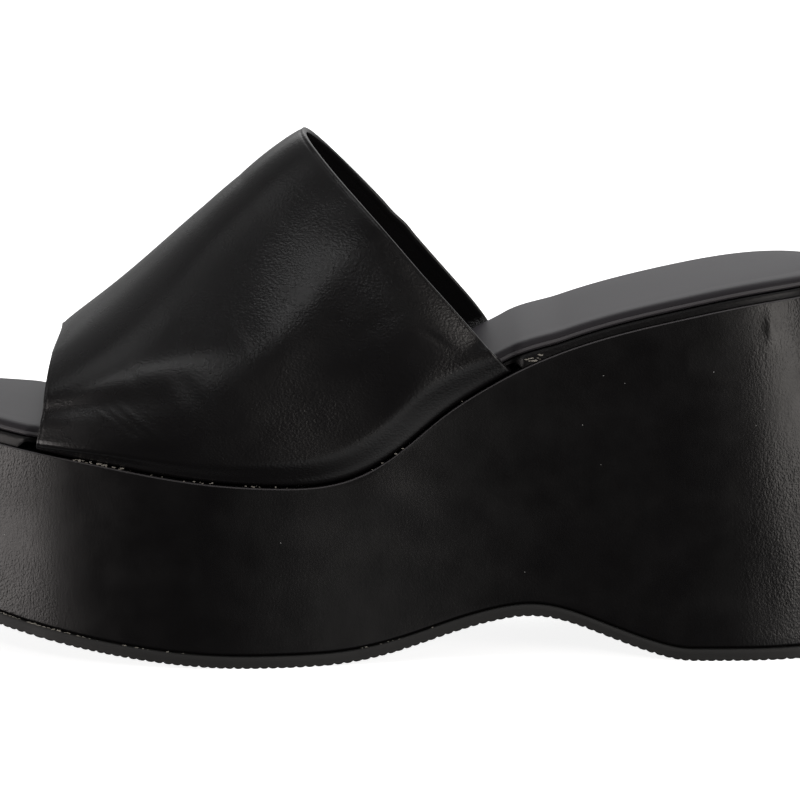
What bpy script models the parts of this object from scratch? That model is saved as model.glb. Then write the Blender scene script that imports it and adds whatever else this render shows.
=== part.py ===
"""Left platform mule: a backless slipper on a covered wedge, in black imitation leather.

Five pieces, as a shoemaker puts them together: rubber outsole, covered platform wedge, footbed rand,
padded insole, and a one-piece hollow upper whose lasting margins are tucked under the rand.

Shoe coordinates while modelling: x from the toe (-) to the heel (+), zero at the middle of the platform's
top edge; y from the outer side of the foot (-) to the inner side (+); z up from the floor.
"""

import math
from collections import namedtuple

import bpy
import numpy as np

MM = 0.001

# Driving sizes of the shoe, in millimetres
PLATFORM_LENGTH = 246.0
BALL_WIDTH = 86.0
HEEL_WIDTH = 62.0
PLATFORM_HEIGHT = 47.8
HEEL_HEIGHT = 96.4
TOE_RISE = 13.8
SOLE_TOE_SPRING = 15.3
ARCH_HEIGHT = 12.0
HEEL_FLARE_SIDE = 3.4
HEEL_FLARE_BACK = 7.2

# Sizes of the layers, in millimetres
OUTSOLE_THICKNESS = 3.1
OUTSOLE_PROUD = 0.5
WEDGE_EDGE_ROUND = 0.8
RAND_HEEL_THICKNESS = 1.9
RAND_FORE_THICKNESS = 3.1
RAND_INSET = 0.5
INSOLE_FLANGE = 1.1
INSOLE_PADDING = 1.8
INSOLE_EDGE_INSET = 0.3
INSOLE_ROUND = 1.5
INSOLE_CROWN_INSET = 6.0

# Sizes of the upper, in millimetres
UPPER_WALL = 1.7
LASTING_MARGIN = 12.0
UPPER_EDGE_INSET = 0.4
UPPER_BEND_RADIUS = 2.4
UPPER_BULGE = 3.1
UPPER_ROOM = 0.8
TOE_OPENING_HEIGHT = 27.4
INSTEP_OPENING_HEIGHT = 80.9
RIDGE_WAVE = 0.9
INSTEP_EDGE_BOW = 0.9

# Angles of the upper's two edges from upright: the toe edge leans back, the instep edge leans forward
TOE_EDGE_LEAN_DEG = -10.5
INSTEP_EDGE_LEAN_DEG = 41.0

# Squareness of the upper's cross-section at its two edges: 2 is an ellipse, more is boxier
TOE_SECTION_POWER = 3.2
INSTEP_SECTION_POWER = 2.4

# Share of a section's height over which the bulge above the lower edge builds up
BULGE_RISE = 0.12

# Clearance between pieces that touch
SEAT_GAP = 0.3

# Where the upper's lower edge starts and ends, as shares of the platform's length from the toe
UPPER_FRONT_OUTER = 0.138
UPPER_FRONT_INNER = 0.129
UPPER_BACK_OUTER = 0.643
UPPER_BACK_INNER = 0.631

# Lengths over which a notch or a thickness fades out, as shares of the platform's length
NOTCH_FADE = 0.014
RAND_FADE_START = 0.646
RAND_FADE_END = 0.700
FLARE_START = 0.61

# Shares of the platform's length at each end: where facets are closer, and where a smaller ring is shortened
END_ZONE = 0.07
RING_END_ZONE = 0.115

# Numbers of facets
END_FACETS = 7
LENGTH_FACETS = 40
WALL_FACETS = 6
UPPER_FACETS_ROUND = 30
BEND_FACETS = 4
LOOP_SAMPLES = 900
ARCH_SAMPLES = 241

# Step over which a slope is measured, in millimetres
SLOPE_STEP = 0.5

# Edges that turn more than this are shaded sharp
SHARP_EDGE_DEG = 35.0

OutlinePoint = namedtuple("OutlinePoint", "place along across width")

# Outline of the platform's top edge, seen from above, once round from the toe tip by the outer side.
# along: share of PLATFORM_LENGTH from the toe; across: share of half the width named in the last column.
OUTLINE = [
    OutlinePoint("toe tip", 0.000, 0.12, BALL_WIDTH),
    OutlinePoint("outer toe", 0.034, -0.39, BALL_WIDTH),
    OutlinePoint("little toe", 0.118, -0.76, BALL_WIDTH),
    OutlinePoint("outer forefoot", 0.215, -0.945, BALL_WIDTH),
    OutlinePoint("outer ball", 0.330, -1.01, BALL_WIDTH),
    OutlinePoint("outer waist front", 0.459, -0.914, BALL_WIDTH),
    OutlinePoint("outer waist", 0.581, -0.795, BALL_WIDTH),
    OutlinePoint("outer heel front", 0.765, -1.02, HEEL_WIDTH),
    OutlinePoint("outer heel", 0.882, -0.98, HEEL_WIDTH),
    OutlinePoint("outer heel back", 0.960, -0.74, HEEL_WIDTH),
    OutlinePoint("heel back", 1.000, 0.0, HEEL_WIDTH),
    OutlinePoint("inner heel back", 0.960, 0.74, HEEL_WIDTH),
    OutlinePoint("inner heel", 0.882, 0.98, HEEL_WIDTH),
    OutlinePoint("inner heel front", 0.765, 1.01, HEEL_WIDTH),
    OutlinePoint("inner waist", 0.581, 0.745, BALL_WIDTH),
    OutlinePoint("inner waist front", 0.459, 0.86, BALL_WIDTH),
    OutlinePoint("inner ball", 0.337, 0.985, BALL_WIDTH),
    OutlinePoint("inner forefoot", 0.215, 0.953, BALL_WIDTH),
    OutlinePoint("big toe", 0.110, 0.82, BALL_WIDTH),
    OutlinePoint("inner toe", 0.034, 0.53, BALL_WIDTH),
]

ProfilePoint = namedtuple("ProfilePoint", "along toe_share rear_share")

# Height of the platform's top edge above PLATFORM_HEIGHT.
# toe_share: share of TOE_RISE; rear_share: share of the rise from PLATFORM_HEIGHT to HEEL_HEIGHT.
TOP_PROFILE = [
    ProfilePoint(0.000, 1.00, 0.000),
    ProfilePoint(0.099, 0.70, 0.000),
    ProfilePoint(0.208, 0.41, 0.000),
    ProfilePoint(0.313, 0.116, 0.000),
    ProfilePoint(0.391, 0.00, 0.000),
    ProfilePoint(0.471, 0.00, 0.033),
    ProfilePoint(0.524, 0.00, 0.174),
    ProfilePoint(0.567, 0.00, 0.350),
    ProfilePoint(0.609, 0.00, 0.491),
    ProfilePoint(0.651, 0.00, 0.606),
    ProfilePoint(0.736, 0.00, 0.771),
    ProfilePoint(0.820, 0.00, 0.878),
    ProfilePoint(0.906, 0.00, 0.960),
    ProfilePoint(1.000, 0.00, 1.000),
]

# Height of the outsole's underside above the floor.
# toe_share: share of SOLE_TOE_SPRING; rear_share: share of ARCH_HEIGHT. Below zero is cut flat at the floor.
SOLE_PROFILE = [
    ProfilePoint(0.000, 1.00, 0.0),
    ProfilePoint(0.097, 0.60, 0.0),
    ProfilePoint(0.208, 0.248, 0.0),
    ProfilePoint(0.313, 0.045, 0.0),
    ProfilePoint(0.372, -0.01, 0.0),
    ProfilePoint(0.423, 0.00, -0.01),
    ProfilePoint(0.471, 0.00, 0.075),
    ProfilePoint(0.524, 0.00, 0.30),
    ProfilePoint(0.577, 0.00, 0.64),
    ProfilePoint(0.630, 0.00, 0.925),
    ProfilePoint(0.663, 0.00, 1.00),
    ProfilePoint(0.696, 0.00, 0.91),
    ProfilePoint(0.738, 0.00, 0.61),
    ProfilePoint(0.792, 0.00, 0.20),
    ProfilePoint(0.836, 0.00, -0.02),
    ProfilePoint(0.915, 0.00, -0.02),
    ProfilePoint(1.060, 0.00, -0.02),
]

FlareLevel = namedtuple("FlareLevel", "down flare")

# How much of the heel's flare the wedge has, from its top edge (down = 0) to its bottom edge (down = 1)
HEEL_FLARE = [
    FlareLevel(0.00, 0.00),
    FlareLevel(0.25, 0.43),
    FlareLevel(0.50, 0.80),
    FlareLevel(0.75, 1.00),
    FlareLevel(1.00, 1.00),
]

PadLevel = namedtuple("PadLevel", "inset rise")

# Rounded shoulder of the insole's padding. inset: share of INSOLE_ROUND; rise: share of INSOLE_PADDING.
INSOLE_SHOULDER = [
    PadLevel(0.0, 0.00),
    PadLevel(0.5, 0.55),
    PadLevel(1.0, 0.86),
]

FinishRow = namedtuple("FinishRow", "name colour roughness metallic")

OUTSOLE_RUBBER = FinishRow("outsole rubber", (0.022, 0.022, 0.022), 0.62, 0.0)
WEDGE_COVER = FinishRow("wedge cover", (0.008, 0.008, 0.008), 0.42, 0.0)
RAND_COVER = FinishRow("rand cover", (0.008, 0.008, 0.008), 0.40, 0.0)
INSOLE_COVER = FinishRow("insole cover", (0.035, 0.032, 0.036), 0.55, 0.0)
UPPER_COVER = FinishRow("upper cover", (0.010, 0.010, 0.010), 0.45, 0.0)


def spline_second_derivatives(knots, values, closed):
    """Second derivatives at the knots of the smooth cubic curve through the values."""
    count = len(knots) if not closed else len(knots) - 1
    steps = np.diff(knots)
    slopes = np.diff(values, axis=0) / steps[:, None]
    matrix = np.eye(count)
    right = np.zeros((count, values.shape[1]))
    rows = range(count) if closed else range(1, count - 1)
    for row in rows:
        before, after = steps[row - 1], steps[row]
        matrix[row, :] = 0.0
        matrix[row, (row - 1) % count] = before
        matrix[row, row] = 2.0 * (before + after)
        matrix[row, (row + 1) % count] = after
        right[row] = 6.0 * (slopes[row] - slopes[row - 1])
    bends = np.linalg.solve(matrix, right)
    return np.vstack([bends, bends[:1]]) if closed else bends


def spline(knots, values, places, closed=False):
    """The smooth cubic curve through the values at the knots, read at the places."""
    knots = np.asarray(knots, float)
    values = np.asarray(values, float).reshape(len(knots), -1)
    places = np.clip(places, knots[0], knots[-1])
    bends = spline_second_derivatives(knots, values, closed)
    cell = np.clip(np.searchsorted(knots, places, side="right") - 1, 0, len(knots) - 2)
    step = (knots[cell + 1] - knots[cell])[:, None]
    right = (places - knots[cell])[:, None] / step
    left = 1.0 - right
    curve = left * values[cell] + right * values[cell + 1]
    curve += ((left**3 - left) * bends[cell] + (right**3 - right) * bends[cell + 1]) * step**2 / 6.0
    return curve


def smooth_step(value):
    """0 below 0, 1 above 1, and a soft S between."""
    held = np.clip(value, 0.0, 1.0)
    return held * held * (3.0 - 2.0 * held)


def share_of_length(x):
    return np.asarray(x, float) / PLATFORM_LENGTH + 0.5


def x_at(share):
    return (share - 0.5) * PLATFORM_LENGTH


def profile_height(profile, toe_size, rear_size, x):
    knots = [point.along for point in profile]
    heights = [point.toe_share * toe_size + point.rear_share * rear_size for point in profile]
    return spline(knots, heights, np.atleast_1d(share_of_length(x)))[:, 0]


def platform_top(x):
    """Height of the wedge's top above the floor."""
    return PLATFORM_HEIGHT + profile_height(TOP_PROFILE, TOE_RISE, HEEL_HEIGHT - PLATFORM_HEIGHT, x)


def sole_underside(x):
    """Height of the outsole's underside: flat on the floor at the ball and at the heel."""
    return np.maximum(profile_height(SOLE_PROFILE, SOLE_TOE_SPRING, ARCH_HEIGHT, x), 0.0)


def platform_loop():
    """Dense points once round the platform's top edge, with their outward normals."""
    points = np.array([(x_at(p.along), p.across * p.width / 2.0) for p in OUTLINE])
    points = np.vstack([points, points[:1]])
    knots = np.concatenate([[0.0], np.cumsum(np.linalg.norm(np.diff(points, axis=0), axis=1))])
    places = np.linspace(0.0, knots[-1], LOOP_SAMPLES, endpoint=False)
    loop = spline(knots, points, places, closed=True)
    tangent = np.roll(loop, -1, axis=0) - np.roll(loop, 1, axis=0)
    normal = np.column_stack([-tangent[:, 1], tangent[:, 0]])
    normal /= np.linalg.norm(normal, axis=1)[:, None]
    inward = np.sum((loop - loop.mean(axis=0)) * normal) < 0.0
    return loop, -normal if inward else normal


def above_platform(x, distance):
    """Height of a layer at a distance from the wedge's top, measured square to its slope."""
    x = np.atleast_1d(x)
    slope = (platform_top(x + SLOPE_STEP) - platform_top(x - SLOPE_STEP)) / (2.0 * SLOPE_STEP)
    return platform_top(x) + distance * np.sqrt(1.0 + slope**2)


def passes_between(x, front, back):
    """1 between two shares of the length, 0 elsewhere, with a short fade beyond each end."""
    share = share_of_length(x)
    rise = smooth_step((share - front) / NOTCH_FADE + 1.0)
    fall = smooth_step((back - share) / NOTCH_FADE + 1.0)
    return rise * fall


def stations():
    """Places along the platform, as shares of its length: closer at the round ends and the upper's ends."""
    toe_end = END_ZONE * (1.0 - np.cos(np.linspace(0.0, math.pi / 2.0, END_FACETS + 1)))
    heel_end = 1.0 - toe_end[::-1]
    fronts = sorted([UPPER_FRONT_OUTER, UPPER_FRONT_INNER])
    backs = sorted([UPPER_BACK_OUTER, UPPER_BACK_INNER])
    marks = np.array([fronts[0] - NOTCH_FADE, *fronts, *backs, backs[1] + NOTCH_FADE])
    even = np.linspace(END_ZONE, 1.0 - END_ZONE, LENGTH_FACETS + 1)[1:-1]
    clear = [place for place in even if np.abs(marks - place).min() > 1.0 / LENGTH_FACETS / 3.0]
    return np.concatenate([toe_end, np.sort(np.concatenate([marks, clear])), heel_end])


def ring(inset, flare=0.0, notch=0.0):
    """Outer and inner edge of the platform's outline at each station, moved in by inset.

    notch is an extra inset where the upper passes, and flare is the share of the heel's flare.
    Gives x, outer y and inner y, one row for each station.
    """
    loop, normal = platform_loop()
    outer_side = loop[:, 1] < OUTLINE[0].across * BALL_WIDTH / 2.0
    front = np.where(outer_side, UPPER_FRONT_OUTER, UPPER_FRONT_INNER)
    back = np.where(outer_side, UPPER_BACK_OUTER, UPPER_BACK_INNER)
    away = notch * passes_between(loop[:, 0], front, back) + inset
    rearward = smooth_step((share_of_length(loop[:, 0]) - FLARE_START) / (1.0 - FLARE_START))
    moved = loop + normal * (flare * HEEL_FLARE_SIDE * rearward - away)[:, None]
    moved[:, 0] += flare * HEEL_FLARE_BACK * rearward
    toe, heel = int(np.argmin(moved[:, 0])), int(np.argmax(moved[:, 0]))
    outer = np.roll(moved, -toe, axis=0)[: (heel - toe) % LOOP_SAMPLES + 1]
    inner = np.roll(moved, -heel, axis=0)[: (toe - heel) % LOOP_SAMPLES + 1][::-1]
    if outer[len(outer) // 2, 1] > inner[len(inner) // 2, 1]:
        outer, inner = inner, outer
    share = stations()
    x = x_at(share)
    x += (moved[toe, 0] - x[0]) * np.clip(1.0 - share / RING_END_ZONE, 0.0, 1.0)
    x += (moved[heel, 0] - x[-1]) * np.clip(1.0 - (1.0 - share) / RING_END_ZONE, 0.0, 1.0)
    outer_y = np.interp(x, outer[:, 0], outer[:, 1])
    inner_y = np.interp(x, inner[:, 0], inner[:, 1])
    return np.column_stack([x, outer_y, inner_y])


def ring_points(edges, height):
    """A ring's points in order: toe tip, outer side, heel back, inner side. height is a function of x."""
    x, outer, inner = edges.T
    z = height(x)
    tip_y, back_y = (outer[0] + inner[0]) / 2.0, (outer[-1] + inner[-1]) / 2.0
    toe = [(x[0], tip_y, z[0])]
    back = [(x[-1], back_y, z[-1])]
    out = list(zip(x[1:-1], outer[1:-1], z[1:-1]))
    inn = list(zip(x[1:-1], inner[1:-1], z[1:-1]))[::-1]
    return toe + out + back + inn


def cap_faces(start, count, facing_up):
    """Cross strips that close a ring of count points, whose first point has the index start."""
    half = count // 2
    faces = []
    for step in range(half):
        outer = (start + step, start + step + 1)
        inner = (start + (count - step - 1) % count, start + (count - step) % count)
        corners = [outer[0], outer[1], inner[0], inner[1]]
        face = [c for i, c in enumerate(corners) if c not in corners[:i]]
        faces.append(tuple(face) if facing_up else tuple(reversed(face)))
    return faces


def loft(name, rings, finish):
    """One closed solid through the rings, from its underside to its top."""
    count = len(rings[0])
    points = [p for one in rings for p in one]
    faces = cap_faces(0, count, facing_up=False)
    for low in range(len(rings) - 1):
        for step in range(count):
            a, b = low * count + step, low * count + (step + 1) % count
            faces.append((a, b, b + count, a + count))
    faces += cap_faces((len(rings) - 1) * count, count, facing_up=True)
    return add_solid(name, points, faces, finish)


def add_solid(name, points, faces, finish):
    mesh = bpy.data.meshes.new(name)
    mesh.from_pydata([[c * MM for c in p] for p in points], [], faces)
    mesh.update()
    mesh.shade_smooth()
    mesh.set_sharp_from_angle(angle=math.radians(SHARP_EDGE_DEG))
    mesh.materials.append(material(finish))
    solid = bpy.data.objects.new(name, mesh)
    bpy.context.scene.collection.objects.link(solid)
    return solid


def material(finish):
    made = bpy.data.materials.new(finish.name)
    made.use_nodes = True
    shader = made.node_tree.nodes["Principled BSDF"]
    shader.inputs["Base Color"].default_value = (*finish.colour, 1.0)
    shader.inputs["Roughness"].default_value = finish.roughness
    shader.inputs["Metallic"].default_value = finish.metallic
    return made


def outsole():
    """The rubber sheet that follows the wedge's underside, a little proud of it."""
    outer, core = ring(-OUTSOLE_PROUD, flare=1.0), ring(OUTSOLE_PROUD, flare=1.0)

    def top(x):
        return sole_underside(x) + OUTSOLE_THICKNESS

    def chamfer(x):
        return sole_underside(x) + OUTSOLE_PROUD

    rings = [
        ring_points(core, sole_underside),
        ring_points(outer, chamfer),
        ring_points(outer, top),
    ]
    return loft("outsole", rings, OUTSOLE_RUBBER)


def wedge_underside(x):
    return sole_underside(x) + OUTSOLE_THICKNESS + SEAT_GAP


def platform_wedge():
    """The covered wedge: upright sides, a heel that flares out towards the floor, and rounded edges."""

    def level(down):
        return lambda x: platform_top(x) * (1.0 - down) + wedge_underside(x) * down

    def above_underside(x):
        return wedge_underside(x) + WEDGE_EDGE_ROUND

    rings = [
        ring_points(ring(WEDGE_EDGE_ROUND, flare=1.0), wedge_underside),
        ring_points(ring(0.0, flare=1.0), above_underside),
    ]
    downs = [row.down for row in HEEL_FLARE]
    for step in range(WALL_FACETS - 1, 0, -1):
        down = step / WALL_FACETS
        flare = spline(downs, [row.flare for row in HEEL_FLARE], np.array([down]))[0, 0]
        rings.append(ring_points(ring(0.0, flare=flare), level(down)))
    rings.append(ring_points(ring(0.0), lambda x: platform_top(x) - WEDGE_EDGE_ROUND / 2.0))
    rings.append(ring_points(ring(WEDGE_EDGE_ROUND / 2.0), platform_top))
    return loft("platform_wedge", rings, WEDGE_COVER)


def rand_thickness(x):
    """The rand is thicker in front, where it bridges the upper's lasting margins."""
    behind = smooth_step((share_of_length(x) - RAND_FADE_START) / (RAND_FADE_END - RAND_FADE_START))
    return RAND_FORE_THICKNESS + (RAND_HEEL_THICKNESS - RAND_FORE_THICKNESS) * behind


def footbed_rand():
    """The covered board under the insole, with a pocket below for the upper's lasting margins."""
    margin = UPPER_EDGE_INSET + LASTING_MARGIN + SEAT_GAP
    front = min(UPPER_FRONT_OUTER, UPPER_FRONT_INNER)
    back = max(UPPER_BACK_OUTER, UPPER_BACK_INNER)

    def floor_of_pocket(x):
        lifted = passes_between(x, front, back) * (UPPER_WALL + SEAT_GAP)
        return above_platform(x, SEAT_GAP + lifted)

    def seat(x):
        return above_platform(x, SEAT_GAP)

    def top(x):
        return above_platform(x, SEAT_GAP + rand_thickness(x))

    side = ring(RAND_INSET, notch=UPPER_EDGE_INSET + UPPER_WALL + UPPER_ROOM - RAND_INSET)
    rings = [
        ring_points(ring(margin + SEAT_GAP), seat),
        ring_points(ring(margin), floor_of_pocket),
        ring_points(side, floor_of_pocket),
        ring_points(side, top),
    ]
    return loft("footbed_rand", rings, RAND_COVER)


def insole():
    """The padded insole: a thin pressed edge, a rounded shoulder and a soft top."""
    inset = RAND_INSET + INSOLE_EDGE_INSET
    notch = UPPER_EDGE_INSET + UPPER_WALL - inset

    def above_rand(height):
        return lambda x: above_platform(x, 2.0 * SEAT_GAP + rand_thickness(x) + height)

    rings = [ring_points(ring(inset, notch=notch), above_rand(0.0))]
    for level in INSOLE_SHOULDER:
        edges = ring(inset + level.inset * INSOLE_ROUND, notch=notch)
        rings.append(ring_points(edges, above_rand(INSOLE_FLANGE + level.rise * INSOLE_PADDING)))
    crown = ring(inset + INSOLE_CROWN_INSET, notch=notch / 2.0)
    rings.append(ring_points(crown, above_rand(INSOLE_FLANGE + INSOLE_PADDING)))
    return loft("insole", rings, INSOLE_COVER)


def upper_base(along):
    """Both ends of the upper's lower edge for each section: x and y, outer side first."""
    edges = ring(UPPER_EDGE_INSET)
    outer_x = x_at(UPPER_FRONT_OUTER + (UPPER_BACK_OUTER - UPPER_FRONT_OUTER) * along)
    inner_x = x_at(UPPER_FRONT_INNER + (UPPER_BACK_INNER - UPPER_FRONT_INNER) * along)
    outer_y = np.interp(outer_x, edges[:, 0], edges[:, 1])
    inner_y = np.interp(inner_x, edges[:, 0], edges[:, 2])
    return np.array([outer_x, outer_y]), np.array([inner_x, inner_y])


def ridge_point(along):
    """The upper's highest point in a section: its x and z."""
    ends = []
    for share, height, lean in (
        (0.0, TOE_OPENING_HEIGHT, TOE_EDGE_LEAN_DEG),
        (1.0, INSTEP_OPENING_HEIGHT, INSTEP_EDGE_LEAN_DEG),
    ):
        outer, inner = upper_base(share)
        middle = (outer[0] + inner[0]) / 2.0
        tilt = math.radians(lean)
        foot = platform_top(middle)[0]
        ends.append(np.array([middle - height * math.sin(tilt), foot + height * math.cos(tilt)]))
    wave = RIDGE_WAVE * math.sin(2.0 * math.pi * along) / math.sqrt(2.0)
    return ends[0] * (1.0 - along) + ends[1] * along + np.array([wave, -wave])


def upper_section(along):
    """Outer face of the upper at one section, from the outer lasting margin over to the inner one."""
    outer, inner = upper_base(along)
    top_x, top_z = ridge_point(along)
    power = TOE_SECTION_POWER + (INSTEP_SECTION_POWER - TOE_SECTION_POWER) * along
    angle = np.linspace(0.0, math.pi, ARCH_SAMPLES)
    across = -np.sign(np.cos(angle)) * np.abs(np.cos(angle)) ** (2.0 / power)
    rise = np.abs(np.sin(angle)) ** (2.0 / power)
    share = (across + 1.0) / 2.0
    foot_x = outer[0] * (1.0 - share) + inner[0] * share
    foot_y = outer[1] * (1.0 - share) + inner[1] * share
    seat_x = x_at(stations())
    ends_z = np.interp([outer[0], inner[0]], seat_x, above_platform(seat_x, SEAT_GAP))
    foot_z = ends_z[0] * (1.0 - share) + ends_z[1] * share
    arch = np.column_stack(
        [
            foot_x * (1.0 - rise) + top_x * rise + INSTEP_EDGE_BOW * along * np.sin(math.pi * rise),
            foot_y + UPPER_BULGE * smooth_step(rise / BULGE_RISE) * across,
            foot_z * (1.0 - rise) + top_z * rise,
        ]
    )
    return with_lasting_margins(arch)


def with_lasting_margins(arch):
    """The arch resampled evenly, with a bend and a flat margin tucked in at each end."""
    length = np.concatenate([[0.0], np.cumsum(np.linalg.norm(np.diff(arch, axis=0), axis=1))])
    places = np.linspace(UPPER_BEND_RADIUS, length[-1] - UPPER_BEND_RADIUS, UPPER_FACETS_ROUND + 1)
    wall = np.column_stack([np.interp(places, length, arch[:, axis]) for axis in range(3)])
    first = margin_points(arch[0], wall[0], 1.0)
    last = margin_points(arch[-1], wall[-1], -1.0)[::-1]
    return np.vstack([first, wall, last])


def margin_points(corner, wall_start, inward):
    """From the margin's hidden edge to the start of the wall, round the bend at the lower corner."""
    reach = np.array([0.0, inward, 0.0])
    bend_start = corner + reach * UPPER_BEND_RADIUS
    points = [corner + reach * LASTING_MARGIN, corner + reach * LASTING_MARGIN / 2.0]
    for step in range(BEND_FACETS):
        t = step / BEND_FACETS
        points.append((1 - t) ** 2 * bend_start + 2 * t * (1 - t) * corner + t**2 * wall_start)
    return np.array(points)


def upper_stations():
    """Sections of the upper, as shares from its toe edge to its instep edge, on the rings' own stations."""
    share = (stations() - UPPER_FRONT_OUTER) / (UPPER_BACK_OUTER - UPPER_FRONT_OUTER)
    inside = share[(share > 0.02) & (share < 0.98)]
    return np.concatenate([[0.0], inside, [1.0]])


def grid_normals(grid):
    """Outward unit normals of a grid of points: sections first, then points round the section."""
    along = np.gradient(grid, axis=0)
    around = np.gradient(grid, axis=1)
    normal = np.cross(around, along)
    return normal / np.linalg.norm(normal, axis=2)[:, :, None]


def upper():
    """The hollow upper: one wall of even thickness, open at the toe, at the instep and underneath."""
    outer = np.array([upper_section(share) for share in upper_stations()])
    normals = grid_normals(outer)
    if normals[len(outer) // 2, outer.shape[1] // 2, 2] < 0.0:
        normals = -normals
    inner = outer - normals * UPPER_WALL
    rows, columns = outer.shape[:2]
    points = [tuple(p) for face in (outer, inner) for line in face for p in line]

    def at(face, row, column):
        return (face * rows + row) * columns + column

    faces = []
    to_inner = rows * columns
    for row in range(rows - 1):
        for column in range(columns - 1):
            a, b = at(0, row, column), at(0, row, column + 1)
            c, d = at(0, row + 1, column + 1), at(0, row + 1, column)
            faces.append((a, d, c, b))
            faces.append((a + to_inner, b + to_inner, c + to_inner, d + to_inner))
    last, end = rows - 1, columns - 1
    for left in range(columns - 1):
        right = left + 1
        faces.append((at(0, 0, left), at(0, 0, right), at(1, 0, right), at(1, 0, left)))
        faces.append((at(0, last, left), at(1, last, left), at(1, last, right), at(0, last, right)))
    for near in range(rows - 1):
        far = near + 1
        faces.append((at(0, near, 0), at(1, near, 0), at(1, far, 0), at(0, far, 0)))
        faces.append((at(0, near, end), at(0, far, end), at(1, far, end), at(1, near, end)))
    return add_solid("upper", points, faces, UPPER_COVER)


def clear_scene():
    for thing in list(bpy.data.objects):
        bpy.data.objects.remove(thing, do_unlink=True)


def centre_on_floor(solids):
    """Moves the shoe so that the origin is at the middle of its footprint's box, on the floor."""
    corners = np.array([v.co for solid in solids for v in solid.data.vertices])
    low, high = corners.min(axis=0), corners.max(axis=0)
    shift = -(low + high) / 2.0
    shift[2] = -low[2]
    for solid in solids:
        for vertex in solid.data.vertices:
            vertex.co += type(vertex.co)(shift)
        solid.data.update()


def main():
    clear_scene()
    centre_on_floor([outsole(), platform_wedge(), footbed_rand(), insole(), upper()])


main()
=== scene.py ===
"""Looks of a left platform mule in black imitation leather, built round the packed model as a fixed frame.

The file is laid out as an add-on and run as a script: property groups hold the sizes, colours and lights,
one operator makes each piece, and one sets the stage. Everything is in metres and in the frame's own
coordinates: +X from toe to heel, +Y to the inner side of the foot, +Z up from the floor.
"""

import math
from collections import namedtuple

import bpy
import numpy as np
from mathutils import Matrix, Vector


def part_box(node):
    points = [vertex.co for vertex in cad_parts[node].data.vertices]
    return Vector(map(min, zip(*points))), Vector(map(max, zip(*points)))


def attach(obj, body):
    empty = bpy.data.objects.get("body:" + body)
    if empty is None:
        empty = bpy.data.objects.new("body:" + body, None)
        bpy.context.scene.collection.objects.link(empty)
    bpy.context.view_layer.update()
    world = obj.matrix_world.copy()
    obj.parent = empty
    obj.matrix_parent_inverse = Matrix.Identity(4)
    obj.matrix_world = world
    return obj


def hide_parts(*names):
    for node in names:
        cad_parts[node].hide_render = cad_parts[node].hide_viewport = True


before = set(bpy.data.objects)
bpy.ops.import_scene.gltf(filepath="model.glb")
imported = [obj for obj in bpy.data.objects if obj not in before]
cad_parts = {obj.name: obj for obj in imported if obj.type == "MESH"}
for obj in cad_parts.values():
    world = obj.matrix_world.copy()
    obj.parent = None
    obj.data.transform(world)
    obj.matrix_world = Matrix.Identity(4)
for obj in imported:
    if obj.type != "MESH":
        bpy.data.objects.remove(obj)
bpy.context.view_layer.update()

bl_info = {
    "name": "Platform mule looks",
    "version": (1, 0, 0),
    "blender": (4, 5, 0),
    "location": "3D View > Sidebar > Mule",
    "description": "Builds the finished surfaces of a left platform mule round its packed model",
    "category": "Add Mesh",
}

MM = 0.001

# Fixed fineness of the meshes
LOOP_SAMPLES = 3600
END_FACETS = 34
BOX_FACETS = 40
BASE_FACETS = 300
BEND_FACETS = 8
ARCH_FINENESS = 4
SLOPE_STEP = 0.5 * MM
SHARP_EDGE_DEG = 50.0

# How far a wall's rounded edge stands out, as a share of half the wall
EDGE_ROUNDNESS = 0.5

# Shares of the platform's length at each end: where facets are closer together, and where the stations of a
# ring that is shorter or longer than the platform are moved along with it
END_ZONE = 0.07
RING_END_ZONE = 0.115


def linear(hex_colour):
    """An sRGB hex colour as the linear colour that the shaders take."""
    parts = [int(hex_colour[i : i + 2], 16) / 255.0 for i in (0, 2, 4)]
    return tuple(p / 12.92 if p <= 0.04045 else ((p + 0.055) / 1.055) ** 2.4 for p in parts)


def length(name, description, millimetres):
    """A size for a property group, written in millimetres and kept in metres."""
    return bpy.props.FloatProperty(
        name=name, description=description, default=millimetres * MM, precision=5, unit="LENGTH"
    )


def share(name, description, default):
    """A number without a unit for a property group."""
    return bpy.props.FloatProperty(name=name, description=description, default=default, precision=4)


def angle(name, description, degrees):
    """An angle for a property group, written in degrees."""
    return bpy.props.FloatProperty(
        name=name, description=description, default=math.radians(degrees), subtype="ANGLE"
    )


def colour(name, description, hex_colour):
    """A colour for a property group, written as sRGB hex."""
    return bpy.props.FloatVectorProperty(
        name=name, description=description, default=linear(hex_colour), size=3, subtype="COLOR"
    )


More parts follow.
